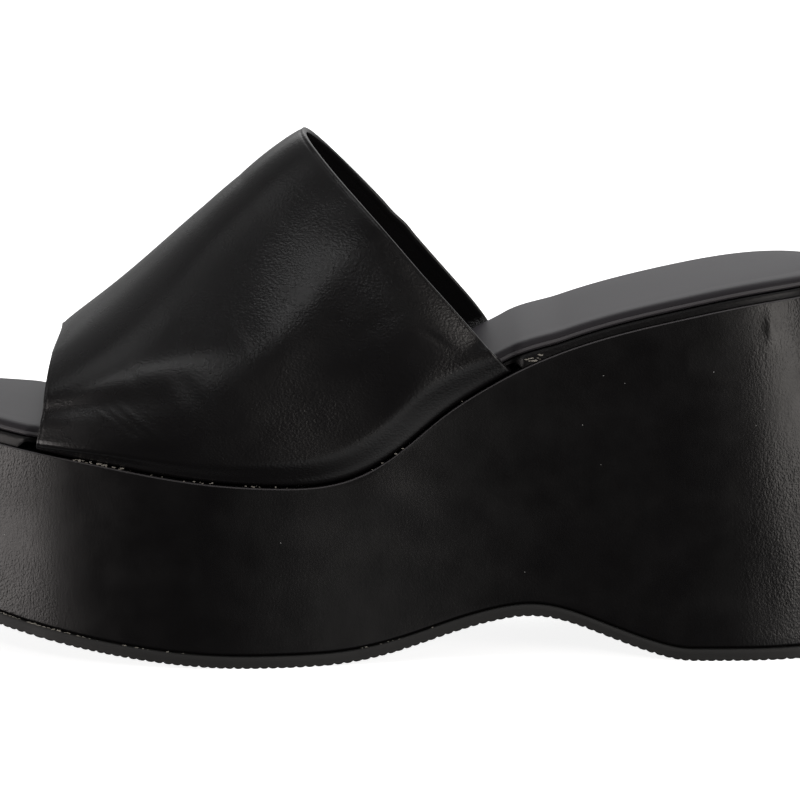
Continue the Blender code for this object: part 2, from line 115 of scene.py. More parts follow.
class MuleSole(bpy.types.PropertyGroup):
    """Sizes of the sole, the rand and the insole."""

    platform_length: length("Platform length", "Top of the platform, toe to heel", 246.0)
    ball_width: length("Ball width", "Top of the platform across the ball", 86.0)
    heel_width: length("Heel width", "Top of the platform across the heel", 62.0)
    platform_height: length("Platform height", "Floor to the platform's top at the ball", 47.8)
    heel_height: length("Heel height", "Floor to the platform's top at the heel", 96.4)
    toe_rise: length("Toe rise", "How far the top rises from the ball to the toe", 13.8)
    toe_spring: length("Toe spring", "How far the sole lifts off the floor at the toe", 15.3)
    sole_bend: length("Sole bend", "How softly the sole turns up from the floor", 0.4)
    arch_height: length("Arch height", "Highest point of the sole between ball and heel", 12.0)
    flare_side: length("Side flare", "How far the heel flares out to each side", 3.4)
    flare_back: length("Back flare", "How far the heel flares out backwards", 7.2)
    outsole_thickness: length("Outsole thickness", "Rubber sheet, ripple included", 3.1)
    outsole_proud: length("Outsole proud", "How far the rubber stands out from the wedge", 0.5)
    ripple_pitch: length("Ripple pitch", "From one cross ripple of the tread to the next", 2.3)
    ripple_depth: length("Ripple depth", "Depth of the tread's cross ripple", 0.5)
    edge_round: length("Edge round", "Rounded lower edge of the wedge's cover", 0.8)
    lip_round: length("Lip round", "Rounded turn of the cover at the platform's top", 0.55)
    seat_gap: length("Seat gap", "Clearance between neighbouring pieces", 0.3)
    rand_heel: length("Rand at the heel", "Thickness of the rand at the heel", 1.9)
    rand_fore: length("Rand in front", "Thickness of the rand in front", 3.1)
    rand_inset: length("Rand inset", "How far the rand stands back from the platform's edge", 0.5)
    insole_flange: length("Insole edge", "Thickness of the insole's pressed edge", 1.1)
    insole_padding: length("Insole padding", "Height of the padding above the pressed edge", 1.8)
    insole_inset: length("Insole inset", "How far the insole stands back from the rand", 0.3)
    insole_round: length("Insole shoulder", "Width of the padding's rounded shoulder", 1.5)
    insole_crown: length("Insole crown inset", "From the insole's edge to its flat top", 6.0)


class MuleStrap(bpy.types.PropertyGroup):
    """Sizes of the wide strap over the forefoot."""

    wall: length("Wall", "Cover, backing and lining together", 1.7)
    lining: length("Lining", "Thickness of the textile lining", 0.4)
    fold_width: length("Turned edge", "How far the cover is turned in at the strap's edges", 7.0)
    edge_groove: length("Edge groove", "From the strap's edge to the pressed line beside it", 1.0)
    margin: length("Lasting margin", "Flat margin tucked under the rand", 12.0)
    edge_inset: length("Edge inset", "How far the strap's base stands back from the platform's edge", 0.4)
    bend_radius: length("Bend", "Rounded bend where the wall meets its margin", 2.4)
    bulge: length("Bulge", "How far the wall swells out above its base", 3.1)
    room: length("Room", "Clearance between the strap and the rand behind it", 0.8)
    toe_opening: length("Toe opening", "Slanting height of the strap's front edge", 27.4)
    instep_opening: length("Instep opening", "Slanting height of the strap's rear edge", 80.9)
    ridge_wave: length("Ridge wave", "Slight S of the strap's ridge line", 0.9)
    edge_bow: length("Edge bow", "How far the rear edge bows back", 0.9)
    edge_curl: length("Edge curl", "How far the rear edge curls in", 0.15)
    toe_lean: angle("Toe edge lean", "Lean of the front edge from upright", -10.5)
    instep_lean: angle("Instep edge lean", "Lean of the rear edge from upright", 41.0)
    toe_power: share("Front squareness", "2 is an ellipse, more is boxier", 2.5)
    instep_power: share("Rear squareness", "2 is an ellipse, more is boxier", 2.45)
    bulge_rise: share("Bulge rise", "Share of the height over which the bulge builds up", 0.12)
    front_outer: share("Front, outer side", "Strap's front end, share of the platform's length", 0.138)
    front_inner: share("Front, inner side", "Strap's front end, share of the platform's length", 0.129)
    back_outer: share("Back, outer side", "Strap's rear end, share of the platform's length", 0.643)
    back_inner: share("Back, inner side", "Strap's rear end, share of the platform's length", 0.631)


class MuleFinish(bpy.types.PropertyGroup):
    """Colours of the finishes."""

    wedge: colour("Wedge cover", "Black imitation leather on the wedge", "0A090A")
    strap: colour("Strap cover", "Black imitation leather on the strap", "100F10")
    rand: colour("Rand cover", "Black imitation leather round the footbed", "0C0B0C")
    insole: colour("Insole cover", "Soft matt imitation leather of the insole", "2C2A2D")
    # Light grey painted along the wedge's lip and the insole's pressed edge, as a painted highlight
    edge: colour("Painted edge highlight", "Light grey painted on rounded edges as a highlight", "464446")
    rubber: colour("Outsole", "Black rubber", "222222")
    lining: colour("Lining", "Black brushed textile", "0B0B0B")
    adhesive: colour("Adhesive", "Dried contact adhesive", "8C8880")
    dust: colour("Dust", "Dust specks on the wedge", "A8A8A8")
    floor: colour("Floor", "Backlit white acrylic sheet", "F4F4F4")


class MuleStage(bpy.types.PropertyGroup):
    """The camera and the studio's light."""

    camera_distance: length("Camera distance", "From the camera to the middle of the picture", 1400.0)
    camera_height: length("Aim height", "Height of the picture's middle above the floor", 63.6)
    camera_aim: length("Aim", "Place of the picture's middle along the shoe", 0.7)
    camera_tilt: angle("Camera elevation", "How far the camera looks down", 10.3)
    lens: length("Lens", "Focal length", 235.9)
    sensor: length("Sensor", "Width of the camera's sensor", 36.0)
    floor_size: length("Floor size", "Side of the acrylic sheet", 6000.0)
    floor_glow: share("Floor glow", "Brightness of the acrylic from below", 0.87)
    backdrop: share("Backdrop", "Brightness of the background behind the shoe", 0.48)
    ceiling: share("Ceiling", "Brightness of the ceiling above the shoe", 0.42)
    high_back: share("High background", "Brightness of the background above the shoe", 1.45)
    front_dark: share("Dark side", "Brightness of the room behind the camera", 0.03)
    side_glow: share("Side glow", "Brightness of the table on the heel side", 0.62)
    left_light: share("Left softbox", "Brightness of the softbox on the toe side", 4.0)
    card_light: share("Left card", "Brightness of the white card above the toe", 0.75)
    right_light: share("Right softbox", "Brightness of the softbox on the heel side", 4.0)
    top_light: share("Top softbox", "Brightness of the long softbox above the camera", 3.8)


GROUPS = {"mule_sole": MuleSole, "mule_strap": MuleStrap, "mule_finish": MuleFinish, "mule_stage": MuleStage}

OutlinePoint = namedtuple("OutlinePoint", "place along across width")

# Outline of the platform's top edge, seen from above, once round from the toe tip by the outer side.
# along: share of the platform's length from the toe; across: share of half the width in the last column.
OUTLINE = [
    OutlinePoint("toe tip", 0.000, 0.12, "ball_width"),
    OutlinePoint("outer toe", 0.034, -0.39, "ball_width"),
    OutlinePoint("little toe", 0.118, -0.76, "ball_width"),
    OutlinePoint("outer forefoot", 0.215, -0.945, "ball_width"),
    OutlinePoint("outer ball", 0.330, -1.01, "ball_width"),
    OutlinePoint("outer waist front", 0.459, -0.914, "ball_width"),
    OutlinePoint("outer waist", 0.581, -0.795, "ball_width"),
    OutlinePoint("outer heel front", 0.765, -1.02, "heel_width"),
    OutlinePoint("outer heel", 0.882, -0.98, "heel_width"),
    OutlinePoint("outer heel back", 0.960, -0.74, "heel_width"),
    OutlinePoint("heel back", 1.000, 0.0, "heel_width"),
    OutlinePoint("inner heel back", 0.960, 0.74, "heel_width"),
    OutlinePoint("inner heel", 0.882, 0.98, "heel_width"),
    OutlinePoint("inner heel front", 0.765, 1.01, "heel_width"),
    OutlinePoint("inner waist", 0.581, 0.745, "ball_width"),
    OutlinePoint("inner waist front", 0.459, 0.86, "ball_width"),
    OutlinePoint("inner ball", 0.337, 0.985, "ball_width"),
    OutlinePoint("inner forefoot", 0.215, 0.953, "ball_width"),
    OutlinePoint("big toe", 0.110, 0.82, "ball_width"),
    OutlinePoint("inner toe", 0.034, 0.53, "ball_width"),
]

ProfilePoint = namedtuple("ProfilePoint", "along toe_share rear_share")

# Height of the platform's top edge above the platform's height at the ball.
# toe_share: share of the toe's rise; rear_share: share of the rise to the heel.
TOP_PROFILE = [
    ProfilePoint(0.000, 1.00, 0.000),
    ProfilePoint(0.099, 0.70, 0.000),
    ProfilePoint(0.208, 0.41, 0.000),
    ProfilePoint(0.313, 0.116, 0.000),
    ProfilePoint(0.391, 0.00, 0.000),
    ProfilePoint(0.471, 0.00, 0.033),
    ProfilePoint(0.524, 0.00, 0.174),
    ProfilePoint(0.567, 0.00, 0.350),
    ProfilePoint(0.609, 0.00, 0.491),
    ProfilePoint(0.651, 0.00, 0.606),
    ProfilePoint(0.736, 0.00, 0.771),
    ProfilePoint(0.820, 0.00, 0.878),
    ProfilePoint(0.906, 0.00, 0.960),
    ProfilePoint(1.000, 0.00, 1.000),
]

# Height of the outsole's underside above the floor.
# toe_share: share of the toe spring; rear_share: share of the arch. Below zero is flat on the floor.
SOLE_PROFILE = [
    ProfilePoint(0.000, 1.00, 0.0),
    ProfilePoint(0.097, 0.60, 0.0),
    ProfilePoint(0.208, 0.248, 0.0),
    ProfilePoint(0.313, 0.045, 0.0),
    ProfilePoint(0.372, -0.01, 0.0),
    ProfilePoint(0.423, 0.00, -0.01),
    ProfilePoint(0.471, 0.00, 0.075),
    ProfilePoint(0.524, 0.00, 0.30),
    ProfilePoint(0.577, 0.00, 0.64),
    ProfilePoint(0.630, 0.00, 0.925),
    ProfilePoint(0.663, 0.00, 1.00),
    ProfilePoint(0.696, 0.00, 0.91),
    ProfilePoint(0.738, 0.00, 0.61),
    ProfilePoint(0.792, 0.00, 0.20),
    ProfilePoint(0.836, 0.00, -0.02),
    ProfilePoint(0.915, 0.00, -0.02),
    ProfilePoint(1.060, 0.00, -0.02),
]

# How much of the heel's flare the wedge has, from its top edge (down = 0) to its bottom edge (down = 1)
FlareLevel = namedtuple("FlareLevel", "down flare")
HEEL_FLARE = [
    FlareLevel(0.00, 0.00),
    FlareLevel(0.25, 0.43),
    FlareLevel(0.50, 0.80),
    FlareLevel(0.75, 1.00),
    FlareLevel(1.00, 1.00),
]

# Shares of the platform's length: where the rand thins out, where the flare starts, how long a notch fades
RAND_FADE = (0.646, 0.700)
FLARE_START = 0.61
NOTCH_FADE = 0.014

EdgePoint = namedtuple("EdgePoint", "inset rise")

# Cross-section of the rand's side. inset: millimetres from the rand's face; rise: share of its height
RAND_SIDE = [
    EdgePoint(0.35, -0.14),
    EdgePoint(0.12, -0.10),
    EdgePoint(0.02, 0.06),
    EdgePoint(0.0, 0.42),
    EdgePoint(0.03, 0.62),
    EdgePoint(0.14, 0.80),
    EdgePoint(0.36, 0.93),
    EdgePoint(0.75, 1.0),
]

# Rounded shoulder of the insole's padding. inset: share of the shoulder's width; rise: share of the padding
INSOLE_SHOULDER = [
    EdgePoint(0.0, 0.0),
    EdgePoint(0.06, 0.22),
    EdgePoint(0.2, 0.42),
    EdgePoint(0.45, 0.62),
    EdgePoint(0.8, 0.78),
    EdgePoint(1.5, 0.90),
    EdgePoint(2.6, 0.97),
]

# Where the strap's flat margin has its rows of points, as shares of its width
MARGIN_ROWS = (1.0, 0.6)

# Soft dents and swellings of the wedge's outer side. along: share of the platform's length; height above
# the floor, half sizes and depth in millimetres, where a depth below zero swells out.
Dent = namedtuple("Dent", "what along height half_length half_height depth")
WEDGE_DENTS = [
    Dent("lump under the cover near the heel", 0.917, 88.4, 1.4, 2.2, -0.42),
    Dent("small lump under the heel's top", 0.829, 79.3, 1.2, 1.4, -0.10),
    Dent("swelling over the strap's margin", 0.505, 46.0, 9.0, 4.5, -0.30),
    Dent("hollow below it", 0.480, 34.0, 16.0, 8.0, 0.15),
    Dent("slack at the toe", 0.120, 30.0, 8.0, 12.0, 0.18),
    Dent("slack at the lower heel", 0.915, 22.0, 5.0, 9.0, 0.16),
    Dent("slack at the heel", 0.940, 55.0, 4.0, 16.0, 0.12),
]

# Soft troughs and ridges of the strap, from one place to another. u: share from the front edge to the rear
# edge; v: share over the strap from the outer base (0) to the inner base (1); half width and height in
# millimetres, where a height below zero is a trough.
Fold = namedtuple("Fold", "what u0 v0 u1 v1 half_width height")
STRAP_FOLDS = [
    Fold("crest of the diagonal tension line", 0.38, 0.180, 1.06, 0.328, 6.8, 0.80),
    Fold("fullness between the highlights", 0.24, 0.232, 0.58, 0.258, 5.0, 0.42),
    Fold("tuck over the front corner", -0.25, 0.172, 0.38, 0.192, 4.8, -0.55),
    Fold("crease in the tuck", -0.20, 0.166, 0.28, 0.197, 2.2, -0.10),
    Fold("fullness at the front corner", -0.25, 0.092, 0.36, 0.126, 4.2, 0.68),
    Fold("first wrinkle at the front corner", 0.13, 0.185, 0.27, 0.105, 0.8, 0.07),
    Fold("second wrinkle at the front corner", 0.15, 0.195, 0.29, 0.110, 0.8, 0.06),
    Fold("third wrinkle at the front corner", 0.17, 0.205, 0.31, 0.118, 0.9, 0.06),
    Fold("turn at the rear corner", 0.83, -0.04, 0.88, 0.20, 8.0, 1.10),
    Fold("curl of the rear edge", 1.05, -0.10, 1.05, 0.37, 9.0, -3.1),
    Fold("slack above the diagonal", 0.36, 0.335, 1.04, 0.392, 8.5, -0.48),
    Fold("lift at the top of the rear edge", 0.74, 0.50, 1.06, 0.51, 16.0, 0.75),
    Fold("lift of the ridge", 0.06, 0.50, 0.62, 0.50, 20.0, 0.55),
    Fold("droop of the front edge", -0.04, 0.32, -0.04, 0.66, 6.0, -1.50),
    Fold("hollow above the rear tuck", 0.66, 0.135, 0.96, 0.135, 6.0, -0.30),
    Fold("short crease near the rear edge", 0.915, 0.165, 0.945, 0.115, 0.9, -0.10),
    Fold("slack on the inner side", 0.34, 0.66, 0.62, 0.84, 8.0, -0.40),
    Fold("tension line on the inner side", 0.52, 0.80, 0.92, 0.68, 8.0, 0.30),
    Fold("second slack on the inner side", 0.70, 0.62, 0.90, 0.74, 6.0, -0.22),
    Fold("hollow at the inner front corner", 0.03, 0.83, 0.26, 0.80, 5.0, -0.28),
]

# Places where the strap's rear edge stands a little further back or forward than its even run. v: share
# over the strap from the outer base to the inner base; half width and shift in millimetres, a shift above
# zero goes back.
EdgeWave = namedtuple("EdgeWave", "what v half_width shift")
REAR_EDGE_WAVES = [
    EdgeWave("slack of the inner side", 0.80, 26.0, 1.0),
    EdgeWave("slack at the inner base", 0.90, 12.0, 1.2),
    EdgeWave("notch over it", 0.735, 3.0, -0.25),
    EdgeWave("corner under the notch", 0.755, 2.5, 0.35),
    EdgeWave("wave on the outer side", 0.30, 9.0, 0.18),
    EdgeWave("second wave on the outer side", 0.21, 7.0, -0.15),
]

# How the folds end: the share of a fold's length that is cut off its swell at each end, and how full it is
FOLD_END = 0.04
FOLD_FULLNESS = 0.8

# Shares over the strap, v: up to where its base stays even, and over what share the folds then grow; then
# the same for the waves of the rear edge on the inner side, which start nearer to the base
EVEN_BASE = 0.075
BASE_FADE = 0.04
WAVE_BASE = 0.055
WAVE_FADE = 0.02

# At the strap's front and rear edges: how far the rear edge's waves and curl reach, and the pressed line
WAVE_REACH = 18.0 * MM
CURL_REACH = 6.0 * MM
GROOVE_WIDTH = 0.28 * MM
GROOVE_DEPTH = 0.10 * MM

# Rough length of the strap from its front edge to its rear edge, as a multiple of its instep opening
STRAP_RUN = 1.5

# Runs of dried adhesive along the seams. seam: strap, rand or outsole; start and end: shares of the
# platform's length; count of specks; size in millimetres.
GlueRun = namedtuple("GlueRun", "seam start end count size")
GLUE_RUNS = [
    GlueRun("strap", 0.178, 0.232, 26, 0.22),
    GlueRun("strap", 0.232, 0.300, 5, 0.13),
    GlueRun("strap", 0.300, 0.330, 8, 0.17),
    GlueRun("strap", 0.360, 0.420, 9, 0.14),
    GlueRun("strap", 0.420, 0.600, 5, 0.16),
    GlueRun("rand", 0.652, 0.680, 16, 0.24),
    GlueRun("outsole", 0.095, 0.190, 60, 0.20),
    GlueRun("outsole", 0.190, 0.300, 14, 0.15),
    GlueRun("outsole", 0.480, 0.560, 12, 0.13),
]
GLUE_SEED = 11


def spline_second_derivatives(knots, values, closed):
    """Second derivatives at the knots of the smooth cubic curve through the values."""
    count = len(knots) if not closed else len(knots) - 1
    steps = np.diff(knots)
    slopes = np.diff(values, axis=0) / steps[:, None]
    matrix = np.eye(count)
    right = np.zeros((count, values.shape[1]))
    rows = range(count) if closed else range(1, count - 1)
    for row in rows:
        before, after = steps[row - 1], steps[row]
        matrix[row, :] = 0.0
        matrix[row, (row - 1) % count] = before
        matrix[row, row] = 2.0 * (before + after)
        matrix[row, (row + 1) % count] = after
        right[row] = 6.0 * (slopes[row] - slopes[row - 1])
    bends = np.linalg.solve(matrix, right)
    return np.vstack([bends, bends[:1]]) if closed else bends


def spline(knots, values, places, closed=False):
    """The smooth cubic curve through the values at the knots, read at the places."""
    knots = np.asarray(knots, float)
    values = np.asarray(values, float).reshape(len(knots), -1)
    places = np.clip(places, knots[0], knots[-1])
    bends = spline_second_derivatives(knots, values, closed)
    cell = np.clip(np.searchsorted(knots, places, side="right") - 1, 0, len(knots) - 2)
    step = (knots[cell + 1] - knots[cell])[:, None]
    right = (places - knots[cell])[:, None] / step
    left = 1.0 - right
    curve = left * values[cell] + right * values[cell + 1]
    curve += ((left**3 - left) * bends[cell] + (right**3 - right) * bends[cell + 1]) * step**2 / 6.0
    return curve


def smooth_step(value):
    """0 below 0, 1 above 1, and a soft S between."""
    held = np.clip(value, 0.0, 1.0)
    return held * held * (3.0 - 2.0 * held)


def bell(distance, half_width):
    """1 in the middle, fading softly to nothing at about twice the half width."""
    return np.exp(-((distance / half_width) ** 2))


class ShoeForm:
    """The shoe's curved form, worked out from its named sizes, before the move into the frame."""

    def __init__(self, sole, strap):
        self.sole = sole
        self.strap = strap
        self.loop, self.normal = self.platform_loop()
        edge = self.ring(self.stations(BOX_FACETS), -sole.outsole_proud, flare=1.0)
        low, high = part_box("outsole")
        shift_x = low.x - edge[:, 0].min()
        shift_y = (low.y + high.y) / 2.0 - (edge[:, 1].min() + edge[:, 2].max()) / 2.0
        self.shift = np.array([shift_x, shift_y, 0.0])

    def share_of_length(self, x):
        """A place along the shoe as a share of the platform's length, 0 at the toe."""
        return np.asarray(x, float) / self.sole.platform_length + 0.5

    def x_at(self, along):
        """The place at a share of the platform's length."""
        return (along - 0.5) * self.sole.platform_length

    def profile_height(self, profile, toe_size, rear_size, x):
        """Height of a table's smooth line, whose shares are of these two sizes."""
        knots = [point.along for point in profile]
        heights = [point.toe_share * toe_size + point.rear_share * rear_size for point in profile]
        return spline(knots, heights, np.ravel(self.share_of_length(x)))[:, 0].reshape(np.shape(x))

    def platform_top(self, x):
        """Height of the wedge's top above the floor."""
        rise = self.sole.heel_height - self.sole.platform_height
        return self.sole.platform_height + self.profile_height(TOP_PROFILE, self.sole.toe_rise, rise, x)

    def sole_underside(self, x):
        """Height of the outsole's underside: flat on the floor at ball and heel, softly bent up beyond."""
        spring, arch = self.sole.toe_spring, self.sole.arch_height
        height = self.profile_height(SOLE_PROFILE, spring, arch, x)
        lowest = min(point.toe_share * spring + point.rear_share * arch for point in SOLE_PROFILE)
        return np.maximum(self.soft_floor(height) - self.soft_floor(lowest), 0.0)

    def soft_floor(self, height):
        """The height itself where it is well above zero, running out softly to zero below."""
        return self.sole.sole_bend * np.logaddexp(0.0, height / self.sole.sole_bend)

    def above_platform(self, x, distance):
        """Height of a layer at a distance from the wedge's top, measured square to its slope."""
        rise = self.platform_top(x + SLOPE_STEP) - self.platform_top(x - SLOPE_STEP)
        slope = rise / (2.0 * SLOPE_STEP)
        return self.platform_top(x) + distance * np.sqrt(1.0 + slope**2)

    def platform_loop(self):
        """Dense points once round the platform's top edge, with their outward normals."""
        widths = [getattr(self.sole, p.width) for p in OUTLINE]
        points = np.array([(self.x_at(p.along), p.across * w / 2.0) for p, w in zip(OUTLINE, widths)])
        points = np.vstack([points, points[:1]])
        knots = np.concatenate([[0.0], np.cumsum(np.linalg.norm(np.diff(points, axis=0), axis=1))])
        places = np.linspace(0.0, knots[-1], LOOP_SAMPLES, endpoint=False)
        loop = spline(knots, points, places, closed=True)
        tangent = np.roll(loop, -1, axis=0) - np.roll(loop, 1, axis=0)
        normal = np.column_stack([-tangent[:, 1], tangent[:, 0]])
        normal /= np.linalg.norm(normal, axis=1)[:, None]
        inward = np.sum((loop - loop.mean(axis=0)) * normal) < 0.0
        return loop, -normal if inward else normal

    def passes_between(self, x, front, back):
        """1 between two shares of the length, 0 elsewhere, with a short fade beyond each end."""
        along = self.share_of_length(x)
        past_front = smooth_step((along - front) / NOTCH_FADE + 1.0)
        return past_front * smooth_step((back - along) / NOTCH_FADE + 1.0)

    def stations(self, facets):
        """Places along the platform, as shares of its length, closer together at the round ends."""
        toe_end = END_ZONE * (1.0 - np.cos(np.linspace(0.0, math.pi / 2.0, END_FACETS + 1)))
        middle = np.linspace(END_ZONE, 1.0 - END_ZONE, facets + 1)[1:-1]
        return np.concatenate([toe_end, middle, 1.0 - toe_end[::-1]])

    def ring(self, stations, inset, flare=0.0, notch=0.0):
        """Outer and inner edge of the platform's outline at each station, moved in by inset.

        notch is an extra inset where the strap passes, and flare is the share of the heel's flare.
        Gives x, outer y and inner y, one row for each station.
        """
        sole, strap = self.sole, self.strap
        outer_side = self.loop[:, 1] < OUTLINE[0].across * sole.ball_width / 2.0
        front = np.where(outer_side, strap.front_outer, strap.front_inner)
        back = np.where(outer_side, strap.back_outer, strap.back_inner)
        away = notch * self.passes_between(self.loop[:, 0], front, back) + inset
        rearward = smooth_step((self.share_of_length(self.loop[:, 0]) - FLARE_START) / (1.0 - FLARE_START))
        moved = self.loop + self.normal * (flare * sole.flare_side * rearward - away)[:, None]
        moved[:, 0] += flare * sole.flare_back * rearward
        toe, heel = int(np.argmin(moved[:, 0])), int(np.argmax(moved[:, 0]))
        outer = np.roll(moved, -toe, axis=0)[: (heel - toe) % LOOP_SAMPLES + 1]
        inner = np.roll(moved, -heel, axis=0)[: (toe - heel) % LOOP_SAMPLES + 1][::-1]
        if outer[len(outer) // 2, 1] > inner[len(inner) // 2, 1]:
            outer, inner = inner, outer
        x = self.x_at(stations)
        x += (moved[toe, 0] - x[0]) * np.clip(1.0 - stations / RING_END_ZONE, 0.0, 1.0)
        x += (moved[heel, 0] - x[-1]) * np.clip(1.0 - (1.0 - stations) / RING_END_ZONE, 0.0, 1.0)
        outer_y = np.interp(x, outer[:, 0], outer[:, 1])
        inner_y = np.interp(x, inner[:, 0], inner[:, 1])
        return np.column_stack([x, outer_y, inner_y])

    def rand_thickness(self, x):
        """The rand is thicker in front, where it bridges the strap's lasting margins."""
        behind = smooth_step((self.share_of_length(x) - RAND_FADE[0]) / (RAND_FADE[1] - RAND_FADE[0]))
        return self.sole.rand_fore + (self.sole.rand_heel - self.sole.rand_fore) * behind

    def strap_base(self, u):
        """Both ends of the strap's lower edge for a section: x and y, outer side first."""
        strap = self.strap
        edges = self.ring(self.stations(BASE_FACETS), strap.edge_inset)
        outer_x = self.x_at(strap.front_outer + (strap.back_outer - strap.front_outer) * u)
        inner_x = self.x_at(strap.front_inner + (strap.back_inner - strap.front_inner) * u)
        outer_y = np.interp(outer_x, edges[:, 0], edges[:, 1])
        inner_y = np.interp(inner_x, edges[:, 0], edges[:, 2])
        return np.column_stack([outer_x, outer_y]), np.column_stack([inner_x, inner_y])

    def ridge_line(self, u):
        """The strap's highest point in each section: its x and z."""
        strap = self.strap
        outer, inner = self.strap_base(np.array([0.0, 1.0]))
        middle = (outer[:, 0] + inner[:, 0]) / 2.0
        foot = self.platform_top(middle)
        height = np.array([strap.toe_opening, strap.instep_opening])
        lean = np.array([strap.toe_lean, strap.instep_lean])
        ends = np.column_stack([middle - height * np.sin(lean), foot + height * np.cos(lean)])
        wave = strap.ridge_wave * np.sin(2.0 * math.pi * u) / math.sqrt(2.0)
        line = ends[0] * (1.0 - u[:, None]) + ends[1] * u[:, None]
        return line + np.column_stack([wave, -wave])

    def strap_sections(self, u, facets):
        """The strap's outer face: one row for each section, from the outer margin over to the inner one."""
        outer, inner = self.strap_base(u)
        ridge = self.ridge_line(u)
        strap = self.strap
        seats = self.above_platform(np.column_stack([outer[:, 0], inner[:, 0]]), self.sole.seat_gap)
        turn = np.linspace(0.0, math.pi, ARCH_FINENESS * facets + 1)
        rows = []
        for row, along in enumerate(u):
            power = strap.toe_power + (strap.instep_power - strap.toe_power) * along
            across = -np.sign(np.cos(turn)) * np.abs(np.cos(turn)) ** (2.0 / power)
            rise = np.abs(np.sin(turn)) ** (2.0 / power)
            part = ((across + 1.0) / 2.0)[:, None]
            foot = outer[row] * (1.0 - part) + inner[row] * part
            foot_z = seats[row, 0] * (1.0 - part[:, 0]) + seats[row, 1] * part[:, 0]
            bow = strap.edge_bow * along * np.sin(math.pi * rise)
            arch = np.column_stack(
                [
                    foot[:, 0] * (1.0 - rise) + ridge[row, 0] * rise + bow,
                    foot[:, 1] + strap.bulge * smooth_step(rise / strap.bulge_rise) * across,
                    foot_z * (1.0 - rise) + ridge[row, 1] * rise,
                ]
            )
            rows.append(self.with_margins(arch, facets))
        return np.array(rows)

    def with_margins(self, arch, facets):
        """The arch resampled evenly, with a bend and a flat margin tucked in at each end."""
        run = np.concatenate([[0.0], np.cumsum(np.linalg.norm(np.diff(arch, axis=0), axis=1))])
        bend = self.strap.bend_radius
        places = np.linspace(bend, run[-1] - bend, facets + 1)
        wall = np.column_stack([np.interp(places, run, arch[:, axis]) for axis in range(3)])
        first = self.margin_points(arch[0], wall[0], 1.0)
        last = self.margin_points(arch[-1], wall[-1], -1.0)[::-1]
        return np.vstack([first, wall, last])

    def margin_points(self, corner, wall_start, inward):
        """From the margin's hidden edge to the start of the wall, round the bend at the lower corner."""
        reach = np.array([0.0, inward, 0.0])
        bend_start = corner + reach * self.strap.bend_radius
        points = [corner + reach * self.strap.margin * part for part in MARGIN_ROWS]
        for t in np.linspace(0.0, 1.0, BEND_FACETS, endpoint=False):
            points.append((1 - t) ** 2 * bend_start + 2 * t * (1 - t) * corner + t**2 * wall_start)
        return np.array(points)


def tube_faces(rows, columns):
    """Four-sided faces of a grid of points, row by row, with the last row joined to the first."""
    row = np.arange(rows)[:, None]
    column = np.arange(columns - 1)[None, :]
    here = row * columns + column
    above = (row + 1) % rows * columns + column
    return np.stack([here, here + 1, above + 1, above], axis=-1).reshape(-1, 4).tolist()


def add_piece(name, points, faces, materials, shift=None, finish_of=None):
    """A smooth-shaded mesh object, moved by shift into the frame's coordinates.

    finish_of gives the number of each face's material, where the piece has more than one.
    """
    mesh = bpy.data.meshes.new(name)
    placed = np.asarray(points, float) + (0.0 if shift is None else shift)
    mesh.from_pydata(placed.tolist(), [], faces)
    mesh.update()
    mesh.shade_smooth()
    mesh.set_sharp_from_angle(angle=math.radians(SHARP_EDGE_DEG))
    for made in materials:
        mesh.materials.append(made)
    if finish_of is not None:
        mesh.polygons.foreach_set("material_index", finish_of)
    piece = bpy.data.objects.new(name, mesh)
    bpy.context.scene.collection.objects.link(piece)
    return piece


def dress(piece, slot, *nodes):
    """The piece rides on the shoe's one body and stands for the nodes, which it hides. The slot is not used.
    """
    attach(piece, "root")
    if nodes:
        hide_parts(*nodes)


def ring_points(edges, height):
    """A ring's points in order: toe tip, outer side, heel back, inner side. height is a function of x."""
    x, outer, inner = edges.T
    z = height(x)
    tip_y, back_y = (outer[0] + inner[0]) / 2.0, (outer[-1] + inner[-1]) / 2.0
    out = np.column_stack([x, outer, z])[1:-1]
    inn = np.column_stack([x, inner, z])[1:-1][::-1]
    return np.vstack([[(x[0], tip_y, z[0])], out, [(x[-1], back_y, z[-1])], inn])


def cap(ring, start, spare, columns, height, facing_up):
    """Closes a ring with cross rows: the new inner points and the faces.

    start is the index of the ring's first point, spare that of the first new point, and height gives z
    from x, y and the share of the way from the outer side to the inner one.
    """
    count = len(ring)
    half = count // 2
    outer = np.arange(1, half)
    inner = count - outer
    part = np.linspace(0.0, 1.0, columns + 1)[1:-1]
    near, far = ring[outer][:, None, :], ring[inner][:, None, :]
    across = near * (1.0 - part)[None, :, None] + far * part[None, :, None]
    across[..., 2] = height(across[..., 0], across[..., 1], part[None, :])
    new = spare + np.arange(len(outer) * len(part)).reshape(len(outer), len(part))
    rows = np.column_stack([start + outer, new, start + inner])
    quads = np.stack([rows[:-1, :-1], rows[1:, :-1], rows[1:, 1:], rows[:-1, 1:]], axis=-1).reshape(-1, 4)
    toe = [(start, first, second) for first, second in zip(rows[0, :-1], rows[0, 1:])]
    heel = [(first, start + half, second) for first, second in zip(rows[-1, :-1], rows[-1, 1:])]
    faces = quads.tolist() + [tuple(int(i) for i in face) for face in toe + heel]
    if not facing_up:
        faces = [tuple(reversed(face)) for face in faces]
    return across.reshape(-1, 3), faces


